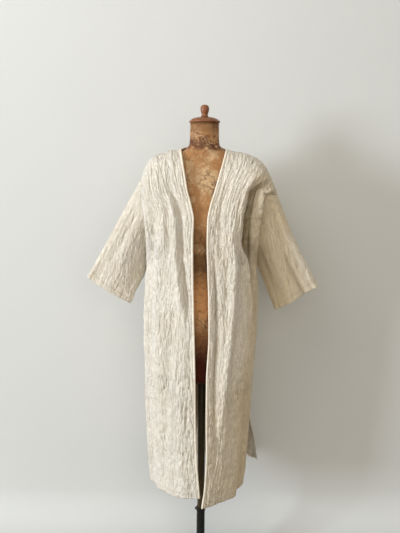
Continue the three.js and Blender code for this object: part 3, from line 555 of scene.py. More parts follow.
def crinkle(across, up, seed):
    """Height of the crinkle, about -1 to 1: long uneven creases along the cloth, crossed low down."""
    def slow(width, length, step):
        return value_noise(across / width, up / length, seed + step)

    u = across + 10 * (slow(*SWAY_PATCH) - 0.5)
    v = up + 70 * (slow(*SHIFT_PATCH) - 0.5)
    wave = 0.8 * (slow(*SWELL_PATCH) - 0.5)
    for layer, (width, length, narrow, share) in enumerate(CRINKLE_LAYERS):
        crest = ridged(u / width, v / length, seed + 10 + layer)
        wave = wave + share * (crest**narrow - 0.3)
    low = smoothstep((CROSSED_BELOW - up) / CROSSED_OVER) * smoothstep(slow(*CROSSED_PATCH) * 2.2 - 0.6)
    crossed = ridged((u + 0.55 * up) / 19, (up - 0.5 * u) / 30, seed + 7) ** 2.5
    strength = 0.45 + 0.9 * slow(*STRENGTH_PATCH)
    return strength * wave + low * 0.6 * (crossed - 0.25)


def crinkled(grid, facing, height, seed, closed):
    """The grid with the crinkle on it, and how deep each point lies in it, 0 to 1."""
    wave = crinkle(*cloth_places(grid), seed)
    if not closed:
        wave = wave * seam_quiet(grid)
    moved = grid + grid_normals(grid, closed) * (facing * height * wave)[:, :, None]
    return moved, np.clip(0.5 - 0.5 * wave, 0, 1)


def seam_quiet(grid):
    """Falls from 1 to 0.25 towards the sewn borders: both sides and the top."""
    across, up = cloth_places(grid)
    quiet = np.ones(grid.shape[:2])
    for distance in (across, across[:, -1:] - across, up[-1:] - up):
        quiet *= 0.25 + 0.75 * smoothstep(distance / SEAM_CALM)
    return quiet


def blurred(grid, reach, axis, wrap):
    """A running mean of the grid over 2 * reach + 1 places along an axis."""
    pads = [(0, 0)] * grid.ndim
    pads[axis] = (reach + 1, reach)
    total = np.cumsum(np.pad(grid, pads, mode="wrap" if wrap else "edge"), axis=axis)
    size = grid.shape[axis]
    span = 2 * reach + 1
    high = np.take(total, np.arange(span, span + size), axis=axis)
    low = np.take(total, np.arange(0, size), axis=axis)
    return (high - low) / span


def hollow(grid, facing, closed):
    """How far each point lies below the cloth round it, 0 to 1 at HOLLOW_DEPTH."""
    mean = grid
    for across, up in HOLLOW_REACH:
        mean = blurred(blurred(mean, across, 1, closed), up, 0, False)
    below = ((mean - grid) * grid_normals(grid, closed)).sum(axis=2) * facing
    return np.clip(below / HOLLOW_DEPTH, 0, 1)


def node_levels(node):
    """Each level of a stacked node: height, half width, reach to the front and to the back."""
    points = np.array([v.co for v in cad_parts[node].data.vertices])
    heights = np.unique(points[:, 2].round(5))
    levels = []
    for height in heights:
        ring = points[np.abs(points[:, 2] - height) < 2e-5]
        levels.append((height, ring[:, 0].max(), -ring[:, 1].min(), ring[:, 1].max()))
    return levels


def clear_of_form(grid):
    """The grid drawn out, where it has to be, until it lies clear of the dress form."""
    height, wide, front, behind = np.array(node_levels("form_torso")).T / MM
    x, y, z = np.moveaxis(grid, -1, 0)
    reach = np.where(y < 0, np.interp(z, height, front), np.interp(z, height, behind))
    power = 2 / FORM_ROUND
    share = (np.abs(x / np.interp(z, height, wide)) ** power + np.abs(y / reach) ** power) ** (1 / power)
    beside = (z > height[0]) & (z < height[-1])
    grow = np.where(beside, np.maximum(1.0, (1 + FORM_CLEARANCE / np.hypot(x, y)) / share), 1.0)
    return grid * np.stack([grow, grow, np.ones_like(grow)], axis=-1)


# ---------- meshes ----------
def grid_object(name, grid, thickness, facing, marks, closed):
    """A thin closed shell on a grid, with its places on the cloth and its marks stored for the weave."""
    rows, columns = grid.shape[:2]
    normals = grid_normals(grid, closed) * facing
    layers = np.concatenate([grid + normals * thickness / 2, grid - normals * thickness / 2])
    points = layers.reshape(-1, 3) * MM
    index = np.arange(rows * columns).reshape(rows, columns)
    if closed:
        index = np.hstack([index, index[:, :1]])
    a, b, c, d = index[:-1, :-1], index[:-1, 1:], index[1:, 1:], index[1:, :-1]
    outer = np.stack([a, b, c, d], axis=-1).reshape(-1, 4)
    shift = rows * columns
    inner = outer[:, ::-1] + shift
    rims = [rim(index[0], shift), rim(index[-1][::-1], shift)]
    if not closed:
        rims += [rim(index[::-1, 0], shift), rim(index[:, -1], shift)]
    faces = np.concatenate([outer, inner] + rims)
    if facing < 0:
        faces = faces[:, ::-1]
    piece = mesh_object(name, points, faces)
    across, up = cloth_places(grid)
    place = np.stack([across, up, np.zeros_like(across)], axis=-1).reshape(-1, 3) * MM
    stored = piece.data.attributes.new("cloth", "FLOAT_VECTOR", "POINT")
    stored.data.foreach_set("vector", np.concatenate([place, place]).astype(np.float32).ravel())
    for mark, amount in marks.items():
        values = np.broadcast_to(amount, grid.shape[:2]).ravel()
        stored = piece.data.attributes.new(mark, "FLOAT", "POINT")
        stored.data.foreach_set("value", np.concatenate([values, values]).astype(np.float32))
    return piece


def rim(line, shift):
    """Faces that close a shell along one line of its points."""
    return np.stack([line[:-1], line[:-1] + shift, line[1:] + shift, line[1:]], axis=-1)


def mesh_object(name, points, faces):
    """A smooth object from points in metres and faces of four corners."""
    mesh = bpy.data.meshes.new(name)
    mesh.vertices.add(len(points))
    mesh.vertices.foreach_set("co", np.asarray(points, np.float32).ravel())
    count = len(faces)
    mesh.loops.add(4 * count)
    mesh.loops.foreach_set("vertex_index", np.asarray(faces, np.int32).ravel())
    mesh.polygons.add(count)
    mesh.polygons.foreach_set("loop_start", np.arange(0, 4 * count, 4, dtype=np.int32))
    mesh.polygons.foreach_set("use_smooth", np.full(count, True))
    mesh.update(calc_edges=True)
    mesh.validate()
    piece = bpy.data.objects.new(name, mesh)
    bpy.context.scene.collection.objects.link(piece)
    return piece


def ringed_object(name, rings):
    """A tube through closed rings of points in metres."""
    count, ring = rings.shape[:2]
    index = np.arange(count * ring).reshape(count, ring)
    turned = np.roll(index, -1, axis=1)
    walls = np.stack([index[:-1], turned[:-1], turned[1:], index[1:]], axis=-1).reshape(-1, 4)
    return mesh_object(name, rings.reshape(-1, 3), walls)


def turned_object(name, profile, segments=96):
    """A turned piece about the Z axis from (radius, height) pairs in metres."""
    profile = np.asarray(profile, float)
    angle = np.linspace(0, 2 * math.pi, segments, endpoint=False)
    rings = np.stack([
        profile[:, :1] * np.cos(angle),
        profile[:, :1] * np.sin(angle),
        np.repeat(profile[:, 1:], segments, axis=1),
    ], axis=-1)
    piece = ringed_object(name, rings)
    weld(piece)
    return piece


def remade(piece, change):
    """Makes a change to a piece's mesh, then turns its faces out."""
    mesh = bmesh.new()
    mesh.from_mesh(piece.data)
    change(mesh)
    bmesh.ops.recalc_face_normals(mesh, faces=mesh.faces)
    mesh.to_mesh(piece.data)
    mesh.free()


def weld(piece):
    """Joins points that lie on each other, such as those on a turned piece's axis."""
    remade(piece, lambda mesh: bmesh.ops.remove_doubles(mesh, verts=mesh.verts, dist=WELD_REACH))


def close_ends(piece):
    """Fills the open ends of a tube."""
    remade(piece, lambda mesh: bmesh.ops.holes_fill(
        mesh, edges=[edge for edge in mesh.edges if edge.is_boundary], sides=0))


def dressed(piece, finish, body, node):
    """Gives a piece its finish, its body and the node that it replaces."""
    piece.data.materials.append(finish)
    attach(piece, body)
    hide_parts(node)


# ---------- shader trees ----------
class Value:
    """A shader socket that takes plain arithmetic."""

    def __init__(self, shader, socket):
        self.shader = shader
        self.socket = socket

    def math(self, operation, other=None, swapped=False):
        """A Math node; swapped puts the other value first."""
        pair = [self] if other is None else ([other, self] if swapped else [self, other])
        return self.shader.node("Math", {"operation": operation}, dict(enumerate(pair)))

    def __add__(self, other):
        return self.math("ADD", other)

    __radd__ = __add__

    def __mul__(self, other):
        return self.math("MULTIPLY", other)

    __rmul__ = __mul__

    def __sub__(self, other):
        return self.math("SUBTRACT", other)

    def __rsub__(self, other):
        return self.math("SUBTRACT", other, swapped=True)


class Shader:
    """The node tree of one finish."""

    def __init__(self, name):
        self.material = bpy.data.materials.new(name)
        self.material.use_nodes = True
        self.tree = self.material.node_tree
        self.tree.nodes.clear()

    def node(self, kind, settings=None, sockets=None, output=0):
        """Adds a node: settings first, then the values or links of its sockets."""
        made = self.tree.nodes.new("ShaderNode" + kind)
        for key, value in (settings or {}).items():
            setattr(made, key, value)
        for key, value in (sockets or {}).items():
            if isinstance(value, Value):
                self.tree.links.new(value.socket, made.inputs[key])
            else:
                made.inputs[key].default_value = value
        return Value(self, made.outputs[output]) if made.outputs else None

    def on_piece(self):
        """Places in the piece's own metres."""
        return self.node("TexCoord", output=3)

    def mark(self, name):
        """A number stored at the cloth's points."""
        return self.node("Attribute", {"attribute_name": name}, output=2)

    def along(self, place, axis):
        """One number of a place: 0, 1 or 2 for x, y or z."""
        return self.node("SeparateXYZ", {}, {0: place}, output=axis)

    def mix(self, factor, first, second):
        """Mixes two colours."""
        return self.node("Mix", {"data_type": "RGBA"}, {0: factor, 6: first, 7: second}, output=2)

    def scaled(self, place, scale):
        """A place multiplied along each of its axes."""
        return self.node("Mapping", {}, {"Vector": place, "Scale": scale})

    def line(self, value, middle, half):
        """1 within half of the middle, 0 further off."""
        return 1.0 - self.range((value - middle).math("ABSOLUTE"), half * 0.6, half * 1.4)

    def noise(self, place, scale, detail=2.0, rough=0.5, warp=0.0):
        """Smooth noise, about 0 to 1."""
        sockets = {"Vector": place, "Scale": scale, "Detail": detail, "Roughness": rough, "Distortion": warp}
        return self.node("TexNoise", {}, sockets)

    def range(self, value, low, high, to_low=0.0, to_high=1.0):
        """A value moved from one range to another and held within it."""
        sockets = {"Value": value, "From Min": low, "From Max": high, "To Min": to_low, "To Max": to_high}
        return self.node("MapRange", {"interpolation_type": "SMOOTHSTEP"}, sockets)

    def crests(self, noise, narrow):
        """Thin crests where a noise crosses its middle, 1 at the crest."""
        return (1.0 - (noise * 2.0 - 1.0).math("ABSOLUTE") * narrow).math("MAXIMUM", 0.0)

    def cracks(self, place, scale, wide):
        """Cracks between cells, 1 in the crack."""
        edges = self.node("TexVoronoi", {"feature": "DISTANCE_TO_EDGE"}, {"Vector": place, "Scale": scale})
        return 1.0 - self.range(edges, 0.0, wide)

    def bump(self, strength, distance, height):
        """The normal of a surface with a height on it; distance is in metres."""
        return self.node("Bump", {}, {"Strength": strength, "Distance": distance, "Height": height})

    def finish(self, **sockets):
        """The surface itself."""
        names = {key.replace("_", " "): value for key, value in sockets.items()}
        surface = self.node("BsdfPrincipled", {}, names)
        self.node("OutputMaterial", {}, {"Surface": surface})
        return self.material


def tone(colour, factor):
    """A colour made darker or lighter."""
    return tuple(channel * factor for channel in colour[:3]) + (1.0,)


def cotton_finish(cloth):
    """Crinkled cotton: slub weave, a low woven pattern, random yellowing, a painted warm shade tint, and
    painted shade in creases, hollow places and seam grooves.
    """
    s = Shader("woven_cotton")
    place = s.node("Attribute", {"attribute_name": "cloth"}, output=1)
    deep, hollow_shade, aged, hem, seam, edge = map(s.mark, ("deep", "hollow", "aged", "hem", "seam", "edge"))
    warp, weft = (s.node("TexWave", {"bands_direction": axis}, {
        "Vector": place, "Scale": scale, "Distortion": 1.2, "Detail": 2.0, "Detail Scale": 2.0})
        for axis, scale in (("X", 420.0), ("Y", 380.0)))
    slub = s.noise(s.scaled(place, (900, 120, 1)), 1.0, 3.0)
    small = s.noise(s.scaled(place, (260, 90, 1)), 1.0, 3.0, 0.6, 0.6)
    crumple = s.noise(s.scaled(place, (130, 50, 1)), 1.0, 4.0, 0.62, 0.9)
    pinch = s.noise(s.scaled(place, (110, 42, 1)), 1.0, 4.0, 0.66, 1.2)
    creases = s.crests(crumple, 2.2)
    lines = s.crests(pinch, 7.0)
    cloud = s.noise(place, 9.0, 3.0)
    dashes = [s.range((s.along(place, axis) * STITCH_TURN).math("SINE"), -0.4, 0.0) for axis in (0, 1)]
    hem_stitches = s.line(hem, HEM_STITCH, STITCH_HALF) * dashes[0]
    stitches = hem_stitches + s.line(edge, EDGE_STITCH, STITCH_HALF) * dashes[1]
    groove = 1.0 - s.range(seam, *SEAM_GROOVE)
    turned = 1.0 - s.range(hem, HEM_WIDTH, HEM_WIDTH + HEM_STEP)
    # Painted warm shade tint on the shaded pieces, with random yellowing from the cloud noise.
    yellowed = (aged + s.range(cloud, 0.35, 0.75, 0.0, 0.2)).math("MINIMUM", 1.0)
    colour = s.mix(yellowed, cloth.colour, cloth.aged)
    # Painted shade deep in the crinkle's creases, and in thin dark crease lines.
    colour = s.mix(s.range(deep, 0.58, 0.95, 0.0, 0.34), colour, cloth.shade)
    colour = s.mix(lines * s.range(small, 0.42, 0.6, 0.0, 0.45), colour, tone(cloth.shade, 0.85))
    # Painted shade in hollow places, deep folds and the shade stripes.
    colour = s.mix(s.range(hollow_shade, 0.12, 1.0, 0.0, 0.9), colour, cloth.painted_hollow_colour)
    # Painted shade in the seam grooves; the stitches are darker too.
    colour = s.mix((groove * 0.4).math("MAXIMUM", stitches * 0.5), colour, tone(cloth.shade, 0.7))
    height = small * 0.30 + creases * 0.45 - lines * 0.35 + (warp + weft) * 0.035 + slub * 0.06
    height = height + turned * 0.4 + stitches * 0.3 - groove * 0.5
    motif = woven_motif(s, place)
    height = height + motif * 0.3
    colour = s.mix(motif * 0.10, colour, tone(cloth.colour, 1.1))
    return s.finish(Base_Color=colour, Roughness=0.9, Normal=s.bump(1.0, 0.0025, height), Sheen_Weight=0.12,
                    Sheen_Roughness=0.5, Specular_IOR_Level=0.25)


def woven_motif(s, place):
    """A common small flower and leaf scattered over the weave, as a mask from 0 to 1."""
    scaled = s.scaled(place, (26, 21, 1))
    cell = s.node("TexVoronoi", {"voronoi_dimensions": "2D"}, {
        "Vector": scaled, "Scale": 1.0, "Randomness": 0.7}, output=2)
    offset = s.node("VectorMath", {"operation": "SUBTRACT"}, {0: scaled, 1: cell})
    x, y = s.along(offset, 0), s.along(offset, 1)
    angle = y.math("ARCTAN2", x)
    reach = (x * x + y * y).math("SQRT")
    petals = (angle * 5.0).math("COSINE") * 0.09 + 0.24
    flower = s.range(petals - reach, -0.015, 0.03)
    eye = s.range(reach, 0.05, 0.08)
    leaf = s.range((0.07 - (y - x * 0.6 - 0.36).math("ABSOLUTE")) - x * x * 0.4, -0.01, 0.02)
    return (flower * eye).math("MAXIMUM", leaf * 0.8)


def band_finish(cloth):
    """The plain cotton of the bands, with a fine rib."""
    s = Shader("band_cotton")
    place = s.on_piece()
    rib = s.node("TexWave", {"bands_direction": "Z"}, {"Vector": place, "Scale": 330.0, "Distortion": 1.5})
    pucker = s.noise(s.scaled(place, (60, 60, 160)), 1.0, 3.0)
    colour = s.mix(s.range(pucker, 0.35, 0.7, 0.1, 0.6), cloth.colour, cloth.aged)
    return s.finish(Base_Color=colour, Roughness=0.88, Normal=s.bump(0.5, 0.0005, pucker * 0.8 + rib * 0.1),
                    Sheen_Weight=0.12, Specular_IOR_Level=0.25)


BARE_STEEL = (0.16, 0.13, 0.10, 1.0)
# Heights on the form in metres: middle and half width of a band, or where a change starts and ends.
# Painted light: a brighter band across the belly, where light reaches into the coat's opening.
LIT_BELLY_BAND = (1.045, 0.055)
# Painted shade: darker bands across the form above the belly, where the coat shades it.
SHADE_BAND = (1.165, 0.030)
UPPER_SHADE_BAND = (1.21, 0.03)
NAPE_BAND = (1.535, 0.022)
CHEST_START = (1.2, 1.36)
CHEST_END = (1.44, 1.5)
# Painted shade: the lower body is painted near black below these heights, for the deep shade inside the
# coat.
LOW_END = (0.84, 1.00)
NECK_TOP = (1.545, 1.562)
# Painted shadow: a dark ring round the top of the neck, just under the cap.
CAP_SHADOW_BAND = (1.574, 1.584)
# Cells to the metre of the wide and the fine cracks, and how much a place is warped to bend them.
CRACK_SCALE = 20.0
FINE_CRACK_SCALE = 62.0
CRACK_WARP = 0.055


def canvas_finish(form):
    """Aged, varnished canvas over a moulded shell: cracked, stained and worn pale in patches, with painted
    light on the belly, painted shade bands above it and on the lower body, and painted shadow under the cap.
    """
    s = Shader("aged_canvas")
    place = s.on_piece()
    up = s.along(place, 2)
    clouds = s.noise(place, 9.0, 6.0, 0.66, 0.9)
    blotches = s.noise(place, 30.0, 6.0, 0.66, 0.9)
    grain = s.noise(s.scaled(place, (220, 220, 90)), 1.0, 4.0)
    sway = s.node("TexNoise", {}, {"Vector": place, "Scale": 34.0, "Detail": 5.0}, output=1)
    bend = s.node("VectorMath", {"operation": "SCALE"}, {0: sway, 3: CRACK_WARP})
    warped = s.node("VectorMath", {"operation": "ADD"}, {0: place, 1: bend})
    crack = s.cracks(warped, CRACK_SCALE, 0.06)
    fine_crack = s.cracks(warped, FINE_CRACK_SCALE, 0.12)
    chest = s.range(up, *CHEST_START) - s.range(up, *CHEST_END)
    low = 1.0 - s.range(up + clouds * 0.12, *LOW_END)
    painted_light = s.line(up + clouds * 0.10, *LIT_BELLY_BAND)
    painted_shade = s.line(up + clouds * 0.08, *SHADE_BAND).math("MAXIMUM", s.line(up, *UPPER_SHADE_BAND) * 0.5)
    nape = s.line(up + clouds * 0.03, *NAPE_BAND)
    rim = s.range(up, *CAP_SHADOW_BAND)
    worn = s.range(clouds + chest * 0.10, 0.46, 0.66)
    colour = s.mix(worn, form.canvas, form.worn)
    colour = s.mix(s.range(blotches, 0.52, 0.72, 0.0, 0.55), colour, tone(form.canvas, 0.45))
    colour = s.mix(s.range(blotches, 0.30, 0.44, 0.4, 0.0), colour, tone(form.worn, 1.2))
    # A dirt band at the base of the neck, and painted shadow under the cap.
    colour = s.mix((nape * s.range(blotches, 0.40, 0.52)).math("MAXIMUM", rim) * 0.75, colour, form.stain_and_shade)
    # Painted shade bands.
    colour = s.mix(painted_shade * 0.6, colour, tone(form.canvas, 0.35))
    # Painted light on the belly.
    colour = s.mix(painted_light * 0.75, colour, tone(form.canvas, 1.85))
    colour = s.mix(s.range(up, *NECK_TOP) * 0.55, colour, tone(form.canvas, 0.5))
    # Painted shade on the lower body.
    colour = s.mix(low * 0.99, colour, form.stain_and_shade)
    colour = s.mix((crack * 0.6 + fine_crack * 0.22) * s.range(clouds, 0.42, 0.58), colour, form.stain_and_shade)
    height = clouds * 0.5 - crack * 0.7 - fine_crack * 0.35 + grain * 0.12 + blotches * 0.5
    return s.finish(Base_Color=colour, Roughness=s.range(blotches, 0.3, 0.7, 0.42, 0.68),
                    Normal=s.bump(0.8, 0.0018, height), Specular_IOR_Level=0.18)


def wood_finish(form):
    """Worn stained wood with turning marks."""
    s = Shader("worn_wood")
    place = s.on_piece()
    grain = s.noise(s.scaled(place, (160, 24, 60)), 1.0, 5.0, 0.6, 1.4)
    rings = s.node("TexWave", {"bands_direction": "Z"}, {"Vector": place, "Scale": 260.0, "Distortion": 2.0})
    wear = s.noise(place, 55.0, 4.0, 0.6)
    colour = s.mix(s.range(grain, 0.35, 0.7), form.wood, tone(form.wood, 0.5))
    colour = s.mix(s.range(wear, 0.52, 0.75, 0.0, 0.4), colour, tone(form.canvas, 0.95))
    return s.finish(Base_Color=colour, Roughness=s.range(wear, 0.3, 0.7, 0.34, 0.55),
                    Normal=s.bump(0.5, 0.0005, grain * 0.6 + rings * 0.25))


def painted_finish(name, colour, rough, worn_rough):
    """Old paint on steel with dust, small runs and rubbed places."""
    s = Shader(name)
    place = s.on_piece()
    scratches = s.noise(s.scaled(place, (300, 300, 12)), 1.0, 4.0, 0.6)
    dust = s.noise(place, 38.0, 5.0, 0.6)
    mixed = s.mix(s.range(dust, 0.45, 0.8, 0.0, 0.35), colour, tone(colour, 3.2))
    mixed = s.mix(s.range(scratches, 0.66, 0.8, 0.0, 0.4), mixed, BARE_STEEL)
    return s.finish(Base_Color=mixed, Roughness=s.range(dust, 0.3, 0.75, rough, worn_rough),
                    Normal=s.bump(0.35, 0.0004, dust * 0.7 + scratches * 0.3), Metallic=0.25)


def wall_finish(name, colour):
    """Plain plaster on the side that faces the room; its other side lets the view through."""
    s = Shader(name)
    place = s.on_piece()
    cloud = s.noise(place, 1.3, 4.0, 0.55)
    colour = s.mix(s.range(cloud, 0.35, 0.7, 0.0, 0.3), colour, tone(colour, 0.93))
    plaster = s.node("BsdfPrincipled", {}, {
        "Base Color": colour, "Roughness": 0.85, "Normal": s.bump(0.12, 0.002, s.noise(place, 60.0, 4.0)),
        "Specular IOR Level": 0.2})
    behind = s.node("NewGeometry", output=6)
    clear = s.node("BsdfTransparent")
    s.node("OutputMaterial", {}, {"Surface": s.node("MixShader", {}, {0: behind, 1: plaster, 2: clear})})
    return s.material


def material_named(name, make, settings):
    """The finish of that name, made the first time it is asked for."""
    return bpy.data.materials.get(name) or make(settings)


# ---------- shared shapes of the garment ----------
def back_folds():
    """Each fold of the back with its mirror image, and the one down the middle."""
    folds = [BACK_MIDDLE_FOLD]
    for (start, start_row), (end, end_row), wide, height in BACK_FOLDS:
        folds.append(((start, start_row), (end, end_row), wide, height))
        folds.append(((1 - start, start_row), (1 - end, end_row), wide, height))
    return folds


def plain_panels():
    """The two fronts and the back with their folds, in millimetres, and the height of those folds."""
    depths = {}
    fronts = {side: front_grid(side) for side in SIDES}
    halves = {side: back_half(side, fronts[side][:, -1]) for side in SIDES}
    for side in SIDES:
        folds = FOLDS["front_" + side] + CREASES["front_" + side]
        fronts[side], depths["front_" + side] = folded(fronts[side], folds, 1, front_quiet)
    fronts["right"] = mirrored(fronts["right"])
    halves["right"] = mirrored(halves["right"])
    back = np.concatenate([halves["left"][:, ::-1], halves["right"][:, 1:]], axis=1)
    back, depths["back_panel"] = folded(back, back_folds(), 1, back_quiet)
    return fronts, back, depths


def sleeve_grid(side, fronts, back):
    """A sleeve as a closed grid from its armhole to its cuff."""
    flip = SIDES[side]
    top_half = ROWS >= UNDERARM_ROW - 1e-9
    down = fronts[side][top_half, -1][::-1]
    rise = back[top_half, 0 if side == "left" else -1]
    half_round = np.linspace(0, 1, SLEEVE_ROUND // 2, endpoint=False)
    ring = np.concatenate([at_shares(down, half_round), at_shares(rise, half_round)])
    rounds = np.linspace(0, 1, SLEEVE_ROUND, endpoint=False)
    angle = 2 * math.pi * rounds
    top, under, thick, sag = CUFFS[side]
    top, under = np.array(top) * [flip, 1, 1], np.array(under) * [flip, 1, 1]
    middle, reach = (top + under) / 2, (top - under) / 2
    cuff = middle + np.outer(np.cos(angle), reach)
    cuff[:, 1] -= thick * np.sin(angle)
    share = np.linspace(0, 1, SLEEVE_ALONG + 1)[:, None, None]
    grid = ring + (cuff - ring) * share
    drop = sag * 4 * share[:, :, 0] * (1 - share[:, :, 0]) * np.maximum(np.cos(angle), 0)
    grid = grid + drop[:, :, None] * (np.array(SAG_WAY) * [flip, 1, 1])
    along = share[:, :, 0]
    out = 0
    for (round0, round1), (start, end), wide, height in SLEEVE_FOLDS[side] + SLEEVE_BACK_FOLDS:
        centre = round0 + (round1 - round0) * along
        fold = ((0, start), (0, end), wide, height)
        out = out + fold_height(fold, rounds - centre, along, SLEEVE_GIRTH)
    out = out * smoothstep(along / SLEEVE_CALM)
    return grid + grid_normals(grid, closed=True) * (flip * out)[:, :, None]


def border_distances(grid, node):
    """How far each point lies from its hem, its seams and its banded edge, in metres."""
    across, up = cloth_places(grid)
    width = across[:, -1:]
    far = np.full(across.shape, 1000.0)
    if node.startswith("sleeve"):
        hem, seam, edge = up[-1:] - up, up, far
    elif node == "back_panel":
        sides = np.minimum(across, width - across)
        seams = np.minimum(np.minimum(sides, up[-1:] - up), np.abs(across - width / 2))
        hem, seam, edge = up, seams, far
    else:
        hem, seam, edge = up, np.minimum(width - across, up[-1:] - up), across
    return {"hem": hem * MM, "seam": seam * MM, "edge": edge * MM}


def stripes(table, share, row, closed):
    """The sum of soft stripes over a panel or sleeve."""
    length = SLEEVE_GIRTH if closed else PANEL_WIDTH
    return sum((fold_height(stripe, share, row, length) for stripe in table), 0.0 * share * row)


def cloth_piece(node, grid, facing, depths):
    """One sewn panel of the haori as a crinkled shell in place of a node; gives the crinkled grid."""
    cloth = bpy.context.scene.haori_cloth
    seed, flat = CUTS[node.split("_")[0]]
    closed = node.startswith("sleeve")
    # Painted shade where the cloth lies below its surroundings and where folds are deeper than FOLD_SHADE.
    hollow_shade = hollow(grid, facing, closed)
    if node in depths:
        hollow_shade = np.maximum(hollow_shade, smoothstep((-depths[node] - FOLD_SHADE[0]) / FOLD_SHADE[1]))
    height = cloth.crinkle / MM * CRINKLE_SHARE.get(node, 1.0)
    grid, deep = crinkled(grid, facing, height, seed + facing, closed)
    grid = clear_of_form(grid)
    start, end, amount = SHADE_SIDE_TINT[node]
    share = np.linspace(0, 1, grid.shape[1])[None, :]
    row = np.linspace(0, 1, grid.shape[0])[:, None]
    # Painted warm shade tint on the shaded side, and tint stripes: painted shade where positive, painted
    # light where negative.
    aged = amount * (1.0 if closed else smoothstep((share - start) / (end - start)))
    aged = aged + stripes(PAINTED_TINT_STRIPES.get(node, ()), share, row, closed)
    # Painted shade stripes.
    hollow_shade = np.clip(hollow_shade + stripes(PAINTED_SHADE_STRIPES.get(node, ()), share, row, closed), 0, 1)
    marks = {"deep": deep, "hollow": hollow_shade, "aged": np.clip(aged, 0, 1)}
    marks.update(border_distances(grid, node))
    name = "cloth_" + node.removesuffix("_panel")
    piece = grid_object(name, grid, cloth.thickness / MM, facing, marks, closed)
    finish = material_named("woven_cotton", cotton_finish, cloth)
    dressed(piece, finish, FORM_BODY, node)
    return grid


# ---------- operators ----------
class HAORI_OT_stage(bpy.types.Operator):
    """Makes the wall, the floor, the light and the camera"""

    bl_idname = "haori.stage"
    bl_label = "Stage"

    CAMERA_PLACE = (-0.011, -2.180, 1.420)
    CAMERA_PITCH = math.radians(8.3)
    CAMERA_ROLL = math.radians(0.535)
    CAMERA_LENS = 43.2
    WALL_DISTANCE = 0.27
    WALL_HEIGHT = 5.0
    SWEEP_RADIUS = 0.14
    STAGE_REACH = 6.0
    ROOM_COLOUR = (1.0, 0.955, 0.87, 1.0)
    # Name, setting of its power, place, what it points at, size, colour.
    LIGHTS = (
        ("window_light", "window", (-7.0, -3.72, 1.85), (0.0, 0.0, 1.05), (1.6, 2.4), (0.86, 0.93, 1.0)),
        ("room_light", "room_light", (0.6, -4.8, 2.2), (0.0, 0.0, 1.1), (4.0, 3.0), (1.0, 0.95, 0.82)),
        ("ceiling_light", "ceiling", (-1.1, -1.5, 3.0), (0.0, 0.2, 1.2), (1.6, 1.4), (1.0, 0.975, 0.90)),
    )

    def execute(self, context):
        stage = context.scene.haori_stage
        self.add_sweep(stage)
        for name, setting, place, target, size, colour in self.LIGHTS:
            self.add_light(name, getattr(stage, setting), place, target, size, colour)
        world = bpy.data.worlds.new("room")
        world.use_nodes = True
        background = world.node_tree.nodes["Background"]
        background.inputs["Color"].default_value = self.ROOM_COLOUR
        background.inputs["Strength"].default_value = stage.room
        context.scene.world = world
        self.add_camera(context.scene)
        context.scene.view_settings.view_transform = "Standard"
        return {"FINISHED"}

    def add_sweep(self, stage):
        """A floor, and a wall that curves up from it."""
        reach, back, radius = self.STAGE_REACH, self.WALL_DISTANCE, self.SWEEP_RADIUS
        start = back - radius
        curve = [(start + radius * math.sin(angle), radius - radius * math.cos(angle))
                 for angle in np.linspace(0, math.pi / 2, 33)]
        sheets = (("floor", [(-reach, 0.0), (start, 0.0)], stage.floor),
                  ("wall", curve + [(back, self.WALL_HEIGHT)], stage.wall))
        for name, profile, colour in sheets:
            points = [(x, y, z) for y, z in profile for x in (-reach, reach)]
            faces = [(k, k + 1, k + 3, k + 2) for k in range(0, len(points) - 2, 2)]
            sheet = mesh_object(name, points, faces)
            sheet.data.materials.append(wall_finish("plain_" + name, tuple(colour)))

    def add_light(self, name, power, place, target, size, colour):
        """A soft light: its size is width and height in metres."""
        light = bpy.data.lights.new(name, "AREA")
        light.shape = "RECTANGLE"
        light.size, light.size_y = size
        light.energy = power
        light.color = colour
        lamp = bpy.data.objects.new(name, light)
        lamp.location = place
        lamp.rotation_euler = (Vector(target) - Vector(place)).to_track_quat("-Z", "Y").to_euler()
        bpy.context.scene.collection.objects.link(lamp)

    def add_camera(self, scene):
        """The camera, tipped down a little."""
        lens = bpy.data.cameras.new("camera")
        lens.lens = self.CAMERA_LENS
        camera = bpy.data.objects.new("camera", lens)
        pitch = Matrix.Rotation(math.pi / 2 - self.CAMERA_PITCH, 4, "X")
        roll = Matrix.Rotation(self.CAMERA_ROLL, 4, "Z")
        camera.matrix_world = Matrix.Translation(self.CAMERA_PLACE) @ (pitch @ roll)
        scene.collection.objects.link(camera)
        scene.camera = camera


